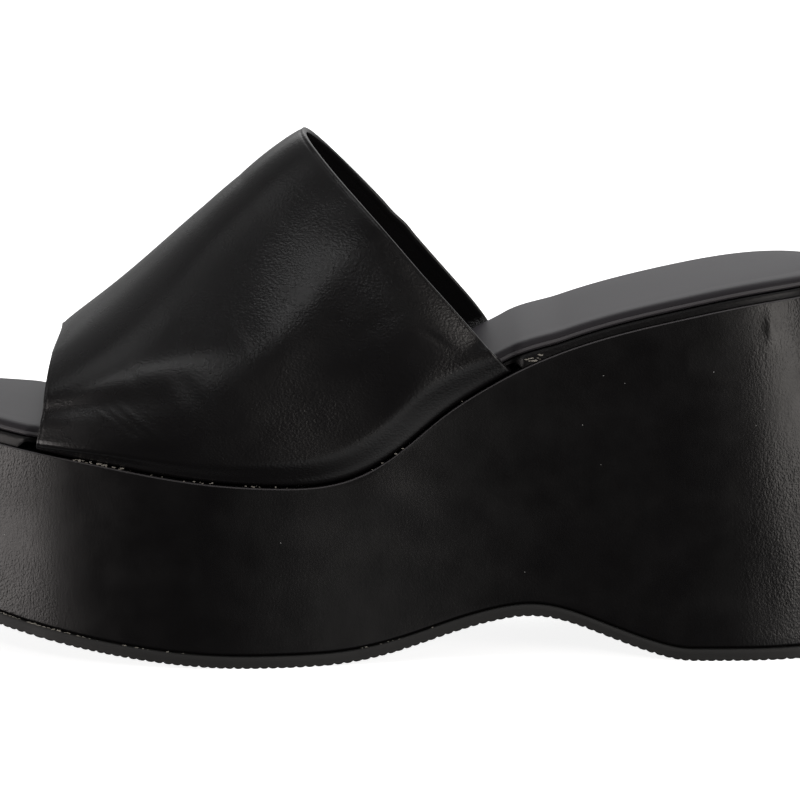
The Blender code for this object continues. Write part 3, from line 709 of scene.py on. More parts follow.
def loft(name, rings, bottom, top, columns, materials, form, cut=None):
    """One closed skin through the rings, from its underside to its top. bottom and top give the caps' z.

    cut names the first and last ring between which the skin takes its second material, the light grey of a
    painted highlight.
    """
    count = len(rings[0])
    faces = []
    for low in range(len(rings) - 1):
        a = np.arange(count) + low * count
        b = np.roll(a, -1)
        faces += np.stack([a, b, b + count, a + count], axis=-1).tolist()
    points = np.vstack(rings)
    inner, closing = cap(rings[0], 0, len(points), columns, bottom, facing_up=False)
    points = np.vstack([points, inner])
    faces += closing
    last = (len(rings) - 1) * count
    inner, closing = cap(rings[-1], last, len(points), columns, top, facing_up=True)
    points = np.vstack([points, inner])
    faces += closing
    finish_of = None
    if cut is not None:
        finish_of = np.zeros(len(faces), dtype=int)
        finish_of[cut[0] * count : cut[1] * count] = 1
    return add_piece(name, points, faces, materials, form.shift, finish_of)


def add_node(tree, kind, settings=None, **inputs):
    """Adds a node with its settings and inputs, and links the inputs that are given as sockets.

    An input goes by its label, with _ for a space, or by i and its number.
    """
    made = tree.nodes.new(kind)
    for key, value in (settings or {}).items():
        setattr(made, key, value)
    for key, value in inputs.items():
        numbered = key[0] == "i" and key[1:].isdigit()
        socket = made.inputs[int(key[1:]) if numbered else key.replace("_", " ")]
        if isinstance(value, bpy.types.NodeSocket):
            tree.links.new(value, socket)
        else:
            socket.default_value = value
    return made


# What a node does with its two values
TIMES = {"operation": "MULTIPLY"}
PLUS = {"operation": "ADD"}
LARGER = {"operation": "MAXIMUM"}

# Embossed grain, in shares of a cell's width: the waves that bend the cells, how far they bend them, and the
# fine grain; then how soft the cells' borders are
GRAIN_WAVE = 2.2
GRAIN_BEND = 1.1
FINE_GRAIN = 0.8
CELL_SOFTNESS = 0.7

# The range of a noise's values between the calm and the full patches, and between the roughness's ends
PATCH_NOISE = (0.35, 0.65)
ROUGHNESS_NOISE = (0.3, 0.7)

# How much of the grain the calmest patches keep, and how much the middle of the wedge does
CALM_PATCH = 0.35
CALM_MIDDLE = 0.13

# Upright wrinkles round the wedge's ends: millimetres from one to the next, how much denser they are than
# high, and their share in the relief
WRINKLE_SPACING = 1.5
WRINKLE_SQUEEZE = (1.0, 1.0, 0.32)
WRINKLE_SHARE = 0.7

# Dust specks on the wedge: millimetres from one place to the next, a speck's rim as shares of that, and how
# many of the places stay clean
SPECK_SPACING = 5.0
SPECK_RIM = (0.022, 0.030)
CLEAN_SHARE = 0.62


def new_material(name, base, roughness, **shader_inputs):
    """A material with one Principled shader, and the settings that are the same all over it."""
    made = bpy.data.materials.new(name)
    made.use_nodes = True
    shader = made.node_tree.nodes["Principled BSDF"]
    shader.inputs["Base Color"].default_value = (*base, 1.0)
    shader.inputs["Roughness"].default_value = roughness
    for key, value in shader_inputs.items():
        shader.inputs[key.replace("_", " ")].default_value = value
    return made


def opened(made):
    """A material's node tree, its shader, and the place on the shoe that its patterns follow."""
    tree = made.node_tree
    return tree, tree.nodes["Principled BSDF"], add_node(tree, "ShaderNodeTexCoord").outputs["Object"]


def per_metre(millimetres):
    """Scale of a texture whose features are this many millimetres apart."""
    return 1.0 / (millimetres * MM)


def leather_grain(made, cell, depth, stretch=(1.0, 1.0, 1.0), patch=24.0, ends=None):
    """Embossed grain: small wrinkled cells that lie closer to the surface in some patches than in others.

    cell, patch and depth, which is the height of the emboss, are in millimetres, and stretch squeezes the
    cells along x, y and z. ends gives two distances from the shoe's middle in millimetres: up to the first
    the grain is faint, beyond the second it is whole and has upright wrinkles, as it does where the cover is
    stretched round an end.
    """
    tree, shader, place = opened(made)
    pulled = add_node(tree, "ShaderNodeMapping", Vector=place, Scale=stretch).outputs["Vector"]
    wave_scale, fine_scale = per_metre(cell * GRAIN_WAVE), per_metre(cell * FINE_GRAIN)
    waves = add_node(tree, "ShaderNodeTexNoise", Vector=pulled, Scale=wave_scale, Detail=1.0)
    bend = add_node(
        tree,
        "ShaderNodeVectorMath",
        {"operation": "SCALE"},
        i0=waves.outputs["Color"],
        Scale=cell * MM * GRAIN_BEND,
    )
    bent = add_node(tree, "ShaderNodeVectorMath", PLUS, i0=pulled, i1=bend.outputs[0])
    cells = add_node(
        tree,
        "ShaderNodeTexVoronoi",
        {"feature": "SMOOTH_F1"},
        Vector=bent.outputs[0],
        Scale=per_metre(cell),
        Smoothness=CELL_SOFTNESS,
    )
    fine = add_node(tree, "ShaderNodeTexNoise", Vector=pulled, Scale=fine_scale, Detail=2.0)
    patches = add_node(tree, "ShaderNodeTexNoise", Vector=place, Scale=per_metre(patch), Detail=1.0)
    keep = add_node(
        tree,
        "ShaderNodeMapRange",
        Value=patches.outputs["Fac"],
        From_Min=PATCH_NOISE[0],
        From_Max=PATCH_NOISE[1],
        To_Min=CALM_PATCH,
        To_Max=1.0,
    )
    both = add_node(tree, "ShaderNodeMath", PLUS, i0=cells.outputs["Distance"], i1=fine.outputs["Fac"])
    raised = add_node(tree, "ShaderNodeMath", TIMES, i0=both.outputs[0], i1=keep.outputs["Result"])
    if ends is not None:
        along = add_node(tree, "ShaderNodeSeparateXYZ", Vector=place).outputs["X"]
        away = add_node(tree, "ShaderNodeMath", {"operation": "ABSOLUTE"}, i0=along)
        whole = add_node(
            tree,
            "ShaderNodeMapRange",
            Value=away.outputs[0],
            From_Min=ends[0] * MM,
            From_Max=ends[1] * MM,
            To_Min=CALM_MIDDLE,
            To_Max=1.0,
        )
        upright = add_node(tree, "ShaderNodeMapping", Vector=place, Scale=WRINKLE_SQUEEZE).outputs["Vector"]
        wrinkles = add_node(
            tree, "ShaderNodeTexNoise", Vector=upright, Scale=per_metre(WRINKLE_SPACING), Detail=2.0
        )
        lines = add_node(tree, "ShaderNodeMath", TIMES, i0=wrinkles.outputs["Fac"], i1=WRINKLE_SHARE)
        wrinkled = add_node(tree, "ShaderNodeMath", PLUS, i0=lines.outputs[0], i1=raised.outputs[0])
        raised = add_node(tree, "ShaderNodeMath", TIMES, i0=wrinkled.outputs[0], i1=whole.outputs["Result"])
    bump = add_node(tree, "ShaderNodeBump", Height=raised.outputs[0], Strength=1.0, Distance=depth * MM)
    tree.links.new(bump.outputs["Normal"], shader.inputs["Normal"])


def vary_roughness(made, low, high, patch):
    """Roughness that drifts between two values over patches of this size in millimetres."""
    tree, shader, place = opened(made)
    noise = add_node(tree, "ShaderNodeTexNoise", Vector=place, Scale=per_metre(patch), Detail=3.0)
    rough = add_node(
        tree,
        "ShaderNodeMapRange",
        Value=noise.outputs["Fac"],
        From_Min=ROUGHNESS_NOISE[0],
        From_Max=ROUGHNESS_NOISE[1],
        To_Min=low,
        To_Max=high,
    )
    tree.links.new(rough.outputs["Result"], shader.inputs["Roughness"])


def fine_relief(made, spacing, depth, **noise_settings):
    """A fine uneven surface: the spacing of its bumps and their height in millimetres."""
    tree, shader, place = opened(made)
    noise = add_node(
        tree, "ShaderNodeTexNoise", Vector=place, Scale=per_metre(spacing), Detail=3.0, **noise_settings
    )
    bump = add_node(tree, "ShaderNodeBump", Height=noise.outputs["Fac"], Strength=1.0, Distance=depth * MM)
    tree.links.new(bump.outputs["Normal"], shader.inputs["Normal"])


def wedge_material(finish):
    """Coated polyurethane leather, embossed and glued over the wedge: nearly black, with a soft sheen."""
    name = "PU leather, embossed, wrapped on the wedge"
    made = new_material(name, finish.wedge, 0.33, IOR=1.48, Specular_IOR_Level=0.42)
    # Real grain is about 0.45 mm; it is drawn at 0.55 mm so that it shows at this size
    leather_grain(made, cell=0.55, depth=0.125, stretch=(1.0, 1.0, 0.75), ends=(88.0, 110.0))
    vary_roughness(made, 0.29, 0.37, 9.0)
    tree, shader, place = opened(made)
    specks = add_node(tree, "ShaderNodeTexVoronoi", Vector=place, Scale=per_metre(SPECK_SPACING))
    dust = add_node(
        tree,
        "ShaderNodeMapRange",
        Value=specks.outputs["Distance"],
        From_Min=SPECK_RIM[0],
        From_Max=SPECK_RIM[1],
        To_Min=1.0,
        To_Max=0.0,
    )
    rare = add_node(
        tree, "ShaderNodeMath", {"operation": "GREATER_THAN"}, i0=specks.outputs["Color"], i1=CLEAN_SHARE
    )
    seen = add_node(tree, "ShaderNodeMath", TIMES, i0=dust.outputs["Result"], i1=rare.outputs[0])
    tint = add_node(
        tree,
        "ShaderNodeMix",
        {"data_type": "RGBA"},
        i0=seen.outputs[0],
        i6=(*finish.wedge, 1.0),
        i7=(*finish.dust, 1.0),
    )
    tree.links.new(tint.outputs[2], shader.inputs["Base Color"])
    return made


def strap_material(finish):
    """Coated polyurethane leather, embossed and stretched over the last: silky, its grain pulled flatter."""
    name = "PU leather, embossed, lasted on the strap"
    made = new_material(name, finish.strap, 0.27, IOR=1.48, Specular_IOR_Level=0.45)
    # Real grain is about 0.45 mm; it is drawn at 0.58 mm so that it shows at this size
    leather_grain(made, cell=0.58, depth=0.045, stretch=(0.8, 1.0, 1.0), patch=18.0)
    vary_roughness(made, 0.245, 0.30, 11.0)
    return made


def rand_material(finish):
    """Thin polyurethane leather, wrapped tight round the footbed's edge: a duller black than the strap."""
    name = "PU leather, thin, wrapped on the rand"
    made = new_material(name, finish.rand, 0.42, IOR=1.48, Specular_IOR_Level=0.28)
    leather_grain(made, cell=0.7, depth=0.05, stretch=(0.6, 1.0, 1.0), patch=9.0)
    return made


def insole_material(finish):
    """Soft matt polyurethane over thin foam: a dry, even, slightly violet grey where the light grazes it."""
    made = new_material(
        "PU leather, soft matt, foam backed",
        finish.insole,
        0.42,
        IOR=1.45,
        Specular_IOR_Level=0.14,
        Sheen_Weight=0.06,
        Sheen_Roughness=0.45,
        Sheen_Tint=(0.92, 0.90, 1.0, 1.0),
    )
    leather_grain(made, cell=0.5, depth=0.018, patch=30.0)
    return made


def edge_highlight_material(finish):
    """Light grey painted on the covers' rounded edges: a painted highlight, a thin light line along the
    wedge's lip and the insole's pressed edge.
    """
    return new_material("PU leather, painted edge highlight", finish.edge, 0.5, Specular_IOR_Level=0.4)


def rubber_material(finish):
    """Solid black rubber sheet, calendered with a cross ripple: dull grey-black with a slight bloom."""
    name = "Rubber, calendered with a ripple"
    made = new_material(name, finish.rubber, 0.60, IOR=1.52, Specular_IOR_Level=0.35)
    fine_relief(made, 0.9, 0.03)
    vary_roughness(made, 0.52, 0.68, 7.0)
    return made


def lining_material(finish):
    """Brushed polyester knit: a dead black with a short nap that glows a little at its edges."""
    made = new_material(
        "Polyester knit, brushed",
        finish.lining,
        0.9,
        Specular_IOR_Level=0.15,
        Sheen_Weight=0.10,
        Sheen_Roughness=0.6,
    )
    # Real nap is about 0.2 mm; it is drawn at 0.4 mm so that it shows at this size
    fine_relief(made, 0.4, 0.12, Roughness=0.7)
    return made


def adhesive_material(finish):
    """Contact adhesive, brushed on and dried: milky, slightly shiny crumbs."""
    return new_material("Contact adhesive, dried", finish.adhesive, 0.35, IOR=1.49)


def floor_material(finish, stage):
    """Opal acrylic sheet, cast and lit from below: even white, with only a faint shadow on it."""
    return new_material(
        "Opal acrylic, cast, backlit",
        finish.floor,
        0.8,
        Specular_IOR_Level=0.0,
        Emission_Color=(1.0, 1.0, 1.0, 1.0),
        Emission_Strength=stage.floor_glow,
    )


def shoe_form():
    """The shoe's form from the sizes in the panel."""
    scene = bpy.context.scene
    return ShoeForm(scene.mule_sole, scene.mule_strap)


class MULE_OT_outsole(bpy.types.Operator):
    """Make the rippled rubber outsole"""

    bl_idname = "mule.outsole"
    bl_label = "Outsole"

    facets = 1150
    columns = 18
    corner = 0.12 * MM
    rib_top = 0.7 * MM

    # The ripple's lines swing a little from side to side, and its ribs are unevenly deep
    swing_pitch = 9.0 * MM
    swing = 0.7 * MM
    unevenness = 0.25
    uneven_beats = (3.7, 1.3)
    groove_sharpness = 1.5

    # How far the sheet's upper face runs in under the wedge, as a multiple of how proud it stands
    seat_width = 4.0

    def execute(self, context):
        form, sole = shoe_form(), context.scene.mule_sole
        stations = form.stations(self.facets)

        def ripple(x, y):
            """Rounded ribs with narrow grooves between them."""
            side_swing = self.swing * np.sin(2.0 * math.pi * y / self.swing_pitch)
            phase = math.pi * (x + side_swing) / sole.ripple_pitch
            long_beat, short_beat = (np.sin(phase / beat) for beat in self.uneven_beats)
            uneven = 1.0 - self.unevenness + self.unevenness * long_beat * short_beat
            return sole.ripple_depth * uneven * (1.0 - np.abs(np.sin(phase))) ** self.groove_sharpness

        def ring_at(inset, lift, rippled=False):
            edges = form.ring(stations, inset, flare=1.0)
            points = ring_points(edges, form.sole_underside)
            points[:, 2] += lift
            if rippled:
                points[:, 2] += ripple(points[:, 0], points[:, 1])
            return points

        # Inset and height of each ring, from the ripples up
        thick, proud = sole.outsole_thickness, sole.outsole_proud
        rings = [
            ring_at(self.corner - proud, 0.0, rippled=True),
            ring_at(-proud, self.corner, rippled=True),
            ring_at(-proud, self.rib_top),
            ring_at(-proud, thick * 0.6),
            ring_at(-proud, thick - self.corner),
            ring_at(self.corner - proud, thick),
            ring_at(self.seat_width * proud, thick),
        ]

        def underside(x, y, part):
            return form.sole_underside(x) + ripple(x, y)

        def top(x, y, part):
            return form.sole_underside(x) + thick

        finish = rubber_material(context.scene.mule_finish)
        piece = loft("outsole_sheet", rings, underside, top, self.columns, [finish], form)
        dress(piece, "outsole_rubber", "outsole")
        return {"FINISHED"}


class MULE_OT_wedge(bpy.types.Operator):
    """Make the wedge's leather cover, with its rounded edges and soft dents"""

    bl_idname = "mule.wedge"
    bl_label = "Wedge cover"

    facets = 560
    wall_levels = 40
    corner_levels = 5
    cap_columns = 4

    # Slight waviness of the glued cover: its depth, and the size and slant of its waves
    waviness = 0.035 * MM
    wave_length = 11.0 * MM
    wave_height = 8.0 * MM
    wave_slant = 30.0 * MM

    def execute(self, context):
        form, sole = shoe_form(), context.scene.mule_sole
        stations = form.stations(self.facets)
        gap = sole.outsole_thickness + sole.seat_gap
        downs = [row.down for row in HEEL_FLARE]
        flares = [row.flare for row in HEEL_FLARE]
        rings = []
        for turn in np.linspace(0.0, math.pi / 2.0, self.corner_levels):
            inset = sole.edge_round * (1.0 - math.sin(turn))
            lift = gap + sole.edge_round * (1.0 - math.cos(turn))
            edges = form.ring(stations, inset, flare=1.0)
            rings.append(ring_points(edges, lambda x, lift=lift: form.sole_underside(x) + lift))
        low, high = gap + sole.edge_round, sole.lip_round
        for part in np.linspace(0.0, 1.0, self.wall_levels + 1)[1:]:
            flare = spline(downs, flares, np.array([1.0 - part]))[0, 0]
            points = ring_points(
                form.ring(stations, 0.0, flare=flare),
                lambda x, part=part: (form.sole_underside(x) + low) * (1.0 - part)
                + (form.platform_top(x) - high) * part,
            )
            rings.append(self.dented(points, form))
        for turn in np.linspace(0.0, math.pi / 2.0, self.corner_levels)[1:]:
            inset = sole.lip_round * (1.0 - math.cos(turn))
            drop = sole.lip_round * (1.0 - math.sin(turn))
            edges = form.ring(stations, inset)
            rings.append(ring_points(edges, lambda x, drop=drop: form.platform_top(x) - drop))

        def bottom(x, y, part):
            return form.sole_underside(x) + gap

        def top(x, y, part):
            return form.platform_top(x)

        finish = context.scene.mule_finish
        covers = [wedge_material(finish), edge_highlight_material(finish)]
        # The lip's rounded turn takes the light grey of a painted highlight
        lip = len(rings) - self.corner_levels
        cut = (lip + 1, lip + 3)
        piece = loft("wedge_skin", rings, bottom, top, self.cap_columns, covers, form, cut)
        dress(piece, "wedge_cover", "platform_wedge")
        return {"FINISHED"}

    def dented(self, points, form):
        """The ring's outer side with its listed dents, and a very slight waviness all round."""
        along = form.share_of_length(points[:, 0])
        outer_side = points[:, 1] < OUTLINE[0].across * form.sole.ball_width / 2.0
        push = np.zeros(len(points))
        x, z = points[:, 0], points[:, 2]
        for dent in WEDGE_DENTS:
            beside = (along - dent.along) * form.sole.platform_length
            near = bell(beside, dent.half_length * MM) * bell(z - dent.height * MM, dent.half_height * MM)
            push += near * dent.depth * MM * outer_side
        wave = np.sin(x / self.wave_length + 1.0) * np.sin(z / self.wave_height + x / self.wave_slant)
        push += self.waviness * (1.0 + wave)
        heading = np.where(outer_side, 1.0, -1.0)
        moved = points.copy()
        moved[:, 1] += push * heading
        return moved


class MULE_OT_rand(bpy.types.Operator):
    """Make the rounded leather rand round the footbed"""

    bl_idname = "mule.rand"
    bl_label = "Rand"

    facets = 460
    cap_columns = 4

    # Gathers of the thin cover: their height, how far apart they are, and how slowly that changes
    gather_height = 0.05 * MM
    gather_pitch = 0.42 * MM
    gather_drift = 3.1 * MM

    def execute(self, context):
        form, sole, strap = shoe_form(), context.scene.mule_sole, context.scene.mule_strap
        stations = form.stations(self.facets)
        margin = strap.edge_inset + strap.margin + sole.seat_gap
        front = min(strap.front_outer, strap.front_inner)
        back = max(strap.back_outer, strap.back_inner)
        notch = strap.edge_inset + strap.wall + strap.room - sole.rand_inset

        def pocket(x):
            return sole.seat_gap + form.passes_between(x, front, back) * (strap.wall + sole.seat_gap)

        def pocket_roof(x):
            return form.above_platform(x, pocket(x))

        def seat(x):
            return form.above_platform(x, sole.seat_gap)

        rings = [
            ring_points(form.ring(stations, margin + sole.seat_gap), seat),
            ring_points(form.ring(stations, margin), pocket_roof),
        ]
        for point in RAND_SIDE:
            edges = form.ring(stations, sole.rand_inset + point.inset * MM, notch=notch)

            def level(x, rise=point.rise):
                low = pocket(x)
                high = sole.seat_gap + form.rand_thickness(x)
                return form.above_platform(x, low + (high - low) * rise)

            rings.append(self.puckered(ring_points(edges, level), point.rise))

        def under(x, y, part):
            return seat(x)

        def over(x, y, part):
            return form.above_platform(x, sole.seat_gap + form.rand_thickness(x))

        cover = rand_material(context.scene.mule_finish)
        piece = loft("rand_band", rings, under, over, self.cap_columns, [cover], form)
        dress(piece, "rand_cover", "footbed_rand")
        return {"FINISHED"}

    def puckered(self, points, rise):
        """The thin cover gathers a little where it goes round the board's edge."""
        x = points[:, 0]
        gather = np.sin(x / self.gather_pitch + 2.0 * np.sin(x / self.gather_drift))
        moved = points.copy()
        moved[:, 2] += self.gather_height * gather * math.sin(math.pi * rise)
        return moved


class MULE_OT_insole(bpy.types.Operator):
    """Make the padded insole, with a thin pressed edge and a soft crown"""

    bl_idname = "mule.insole"
    bl_label = "Insole"

    facets = 420
    columns = 44
    fill = 0.7
    crown = 0.9 * MM
    shoulder_start = 0.5 * MM

    # Waves of the soft top: their height and the size of one along the insole and across it
    wave_height = 0.05 * MM
    wave_length = 9.0 * MM
    wave_width = 7.0 * MM

    # The rings between which the pressed edge's slope takes the light grey of a painted highlight
    cut = (2, 4)

    def execute(self, context):
        form, sole, strap = shoe_form(), context.scene.mule_sole, context.scene.mule_strap
        stations = form.stations(self.facets)
        inset = sole.rand_inset + sole.insole_inset
        notch = strap.edge_inset + strap.wall - inset

        def above_rand(x, height):
            return form.above_platform(x, 2.0 * sole.seat_gap + form.rand_thickness(x) + height)

        def ring_at(extra, height, share_of_notch=1.0):
            edges = form.ring(stations, inset + extra, notch=notch * share_of_notch)
            return ring_points(edges, lambda x: above_rand(x, height))

        # Extra inset and height of each ring of the pressed edge, from its underside up
        flange, padding = sole.insole_flange, sole.insole_padding
        rings = [
            ring_at(0.25 * MM, 0.0),
            ring_at(0.05 * MM, 0.15 * MM),
            ring_at(0.0, flange * 0.40),
            ring_at(0.10 * MM, flange * 0.66),
            ring_at(0.42 * MM, flange),
        ]
        for point in INSOLE_SHOULDER:
            extra = self.shoulder_start + point.inset * sole.insole_round
            rings.append(ring_at(extra, flange + point.rise * padding))
        rings.append(ring_at(sole.insole_crown, flange + padding, 0.5))

        def under(x, y, part):
            return above_rand(x, 0.0)

        def over(x, y, part):
            arch = 4.0 * part * (1.0 - part)
            wave = self.wave_height * np.sin(x / self.wave_length) * np.sin(y / self.wave_width + 0.5)
            return above_rand(x, flange + padding) + self.crown * arch + wave * np.minimum(1.0, 2.0 * arch)

        finish = context.scene.mule_finish
        covers = [insole_material(finish), edge_highlight_material(finish)]
        piece = loft("insole_pad", rings, under, over, self.columns, covers, form, self.cut)
        dress(piece, "insole_cover", "insole")
        return {"FINISHED"}


def strap_surface(form, u, facets):
    """The strap's creased outer face, its unit normals and the distance of each point to the nearer edge.

    u gives its sections as shares from the front edge to the rear edge.
    """
    base = form.strap_sections(u, facets)
    normals = outward(base)
    run = np.linalg.norm(np.diff(base, axis=1), axis=2)
    across = np.concatenate([np.zeros((len(u), 1)), np.cumsum(run, axis=1)], axis=1)
    total = across[:, -1:]
    v = across / total
    width = total.mean()
    reach = np.linalg.norm(base[-1] - base[0], axis=1)[None, :] * np.ones((len(u), 1))
    from_front = u[:, None] * reach
    from_back = (1.0 - u[:, None]) * reach
    here = np.stack([from_front, v * width], axis=-1)
    rise = np.zeros(v.shape)
    for fold in STRAP_FOLDS:
        start = np.stack([fold.u0 * reach, np.full(v.shape, fold.v0 * width)], axis=-1)
        end = np.stack([fold.u1 * reach, np.full(v.shape, fold.v1 * width)], axis=-1)
        line = end - start
        size = np.sum(line * line, axis=-1)
        part = np.clip(np.sum((here - start) * line, axis=-1) / size, 0.0, 1.0)
        away = np.linalg.norm(here - start - line * part[..., None], axis=-1)
        swell = np.sin(math.pi * np.clip(part, FOLD_END, 1.0 - FOLD_END)) ** FOLD_FULLNESS
        rise += fold.height * MM * swell * bell(away, fold.half_width * MM)
    above_outer = smooth_step((v - EVEN_BASE) / BASE_FADE)
    wall = above_outer * smooth_step((1.0 - EVEN_BASE - v) / BASE_FADE)
    waves = sum(w.shift * MM * bell((v - w.v) * width, w.half_width * MM) for w in REAR_EDGE_WAVES)
    near_back = smooth_step(1.0 - from_back / WAVE_REACH)
    base[..., 0] += near_back * waves * above_outer * smooth_step((1.0 - WAVE_BASE - v) / WAVE_FADE)
    curl = form.strap.edge_curl * smooth_step(1.0 - from_back / CURL_REACH) ** 2
    groove = form.strap.edge_groove
    pressed = bell(from_front - groove, GROOVE_WIDTH) + bell(from_back - groove, GROOVE_WIDTH)
    face = base + normals * ((rise - curl - GROOVE_DEPTH * pressed) * wall)[..., None]
    return face, outward(face), np.minimum(from_front, from_back)


def outward(grid):
    """Outward unit normals of the strap's grid of points."""
    along = np.gradient(grid, axis=0)
    around = np.gradient(grid, axis=1)
    normal = np.cross(around, along)
    normal /= np.linalg.norm(normal, axis=2)[:, :, None]
    middle = normal[len(grid) // 2, grid.shape[1] // 2, 2]
    return normal if middle > 0.0 else -normal


def closed_shell(name, outer, inner, nose, finish, form):
    """A closed wall between two faces, with rounded ends of nose rows at its front and rear edges."""
    turns = np.linspace(0.0, math.pi, nose + 2)[1:-1]

    def rounded(row, beside, turns_of):
        middle = (outer[row] + inner[row]) / 2.0
        half = (outer[row] - inner[row]) / 2.0
        ahead = outer[row] - outer[beside]
        ahead /= np.linalg.norm(ahead, axis=1)[:, None]
        out = ahead * np.linalg.norm(half, axis=1)[:, None] * EDGE_ROUNDNESS
        return [middle + half * math.cos(turn) + out * math.sin(turn) for turn in turns_of]

    rear = rounded(-1, -2, turns)
    front = rounded(0, 1, turns[::-1])
    rows = front[nose // 2 :] + list(outer) + rear + list(inner[::-1]) + front[: nose // 2]
    grid = np.array(rows)
    count, columns = grid.shape[:2]
    faces = tube_faces(count, columns)
    for first in range(count // 2 - 1):
        a, b = first * columns, (first + 1) * columns
        c, d = (count - 2 - first) * columns, (count - 1 - first) * columns
        faces.append([a, b, c, d])
        faces.append([a + columns - 1, d + columns - 1, c + columns - 1, b + columns - 1])
    return add_piece(name, grid.reshape(-1, 3), faces, [finish], form.shift)


class MULE_OT_strap(bpy.types.Operator):
    """Make the strap's creased leather cover with its turned edges"""

    bl_idname = "mule.strap"
    bl_label = "Strap cover"

    sections = 150
    facets = 190
    nose = 6

    # Sections are closer together in a zone at each edge, and the turned edge thins out over a short way
    edge_zone = 9.0 * MM
    edge_sections = 25
    fold_fade = 1.0 * MM

    def execute(self, context):
        form, strap = shoe_form(), context.scene.mule_strap
        run = strap.instep_opening * STRAP_RUN
        back = strap.wall / 2.0 * EDGE_ROUNDNESS / run
        zone = self.edge_zone / run
        front = np.linspace(back, zone, self.edge_sections + 1)[:-1]
        rows = np.concatenate([front, np.linspace(zone, 1.0 - zone, self.sections), 1.0 - front[::-1]])
        face, normals, from_edge = strap_surface(form, rows, self.facets)
        single = strap.wall - strap.lining
        doubled = 1.0 - smooth_step((from_edge - strap.fold_width) / self.fold_fade)
        wall = single + (strap.wall - single) * doubled
        inner = face - normals * wall[..., None]
        finish = strap_material(context.scene.mule_finish)
        piece = closed_shell("strap_skin", face, inner, self.nose, finish, form)
        dress(piece, "upper_cover", "upper")
        return {"FINISHED"}


class MULE_OT_lining(bpy.types.Operator):
    """Make the strap's textile lining"""

    bl_idname = "mule.lining"
    bl_label = "Strap lining"

    sections = 90
    facets = 120
    nose = 2

    # Clearances: under the cover, and beside its turned edge
    under = 0.02 * MM
    beside = 0.6 * MM

    def execute(self, context):
        form, strap = shoe_form(), context.scene.mule_strap
        start = (strap.fold_width + self.beside) / (strap.instep_opening * STRAP_RUN)
        rows = np.linspace(start, 1.0 - start, self.sections)
        face, normals = strap_surface(form, rows, self.facets)[:2]
        outer = face - normals * (strap.wall - strap.lining + self.under)
        inner = face - normals * strap.wall
        finish = lining_material(context.scene.mule_finish)
        piece = closed_shell("strap_lining", outer, inner, self.nose, finish, form)
        dress(piece, "upper_cover")
        return {"FINISHED"}


class MULE_OT_adhesive(bpy.types.Operator):
    """Make the crumbs of dried adhesive along the seams"""

    bl_idname = "mule.adhesive"
    bl_label = "Adhesive crumbs"

    facets = 400
    rings_of_crumb = 4
    sides_of_crumb = 6

    # Least and most of a crumb's size, length, height and lumpiness, as shares of its run's size
    size_range = (0.45, 1.25)
    length_range = (1.0, 3.0)
    height_range = (0.5, 1.0)
    lump_range = (0.75, 1.2)
    thickness = 0.7

    # Where the crumbs sit. At the outsole: share of its overhang, and millimetres from its top. At the rand:
    # shares of its thickness. At the strap: how far inside the platform's edge, and millimetres above it.
    outsole_overhang = 0.3
    outsole_range = (-0.1, 0.25)
    rand_range = (0.0, 0.8)
    strap_inset = 0.35 * MM
    strap_range = (0.0, 0.5)

    def execute(self, context):
        form = shoe_form()
        draw = np.random.default_rng(GLUE_SEED)
        stations = form.stations(self.facets)
        points, faces = [], []
        for run in GLUE_RUNS:
            places = form.x_at(np.sort(draw.uniform(run.start, run.end, run.count)))
            for x in places:
                size = run.size * MM * draw.uniform(*self.size_range)
                long = draw.uniform(*self.length_range)
                stretch = np.array([long, self.thickness, draw.uniform(*self.height_range)])
                centre = self.seat_of(run.seam, x, form, stations, draw)
                crumb, crumb_faces = self.crumb(centre, size * stretch, draw)
                faces += [[i + len(points) for i in face] for face in crumb_faces]
                points += crumb.tolist()
        finish = adhesive_material(context.scene.mule_finish)
        piece = add_piece("adhesive_crumbs", points, faces, [finish], form.shift)
        dress(piece, "rand_cover")
        return {"FINISHED"}

    def seat_of(self, seam, x, form, stations, draw):
        """A place on a seam of the outer side, at a drawn height beside the seam's line."""
        sole = form.sole
        if seam == "outsole":
            edges = form.ring(stations, -sole.outsole_proud * self.outsole_overhang, flare=1.0)
            z = form.sole_underside(x) + sole.outsole_thickness + draw.uniform(*self.outsole_range) * MM
        elif seam == "rand":
            edges = form.ring(stations, sole.rand_inset)
            z = form.above_platform(x, sole.seat_gap + sole.rand_heel * draw.uniform(*self.rand_range))
        else:
            edges = form.ring(stations, self.strap_inset)
            z = form.above_platform(x, draw.uniform(*self.strap_range) * MM)
        return np.array([x, np.interp(x, edges[:, 0], edges[:, 1]), float(z)])

    def crumb(self, centre, size, draw):
        """One small uneven lump: its points and faces."""
        rings, sides = self.rings_of_crumb, self.sides_of_crumb
        points = [centre - np.array([0.0, 0.0, size[2]])]
        for ring in range(1, rings):
            lean = math.pi * ring / rings
            for side in range(sides):
                turn = 2.0 * math.pi * side / sides
                flat = math.sin(lean)
                way = np.array([math.cos(turn) * flat, math.sin(turn) * flat, -math.cos(lean)])
                points.append(centre + way * size * draw.uniform(*self.lump_range))
        points.append(centre + np.array([0.0, 0.0, size[2]]))
        last = len(points) - 1
        faces = []
        for side in range(sides):
            after = (side + 1) % sides
            faces.append([0, 1 + after, 1 + side])
            top = 1 + (rings - 2) * sides
            faces.append([last, top + side, top + after])
            for ring in range(rings - 2):
                low = 1 + ring * sides
                faces.append([low + side, low + after, low + sides + after, low + sides + side])
        return np.array(points), faces


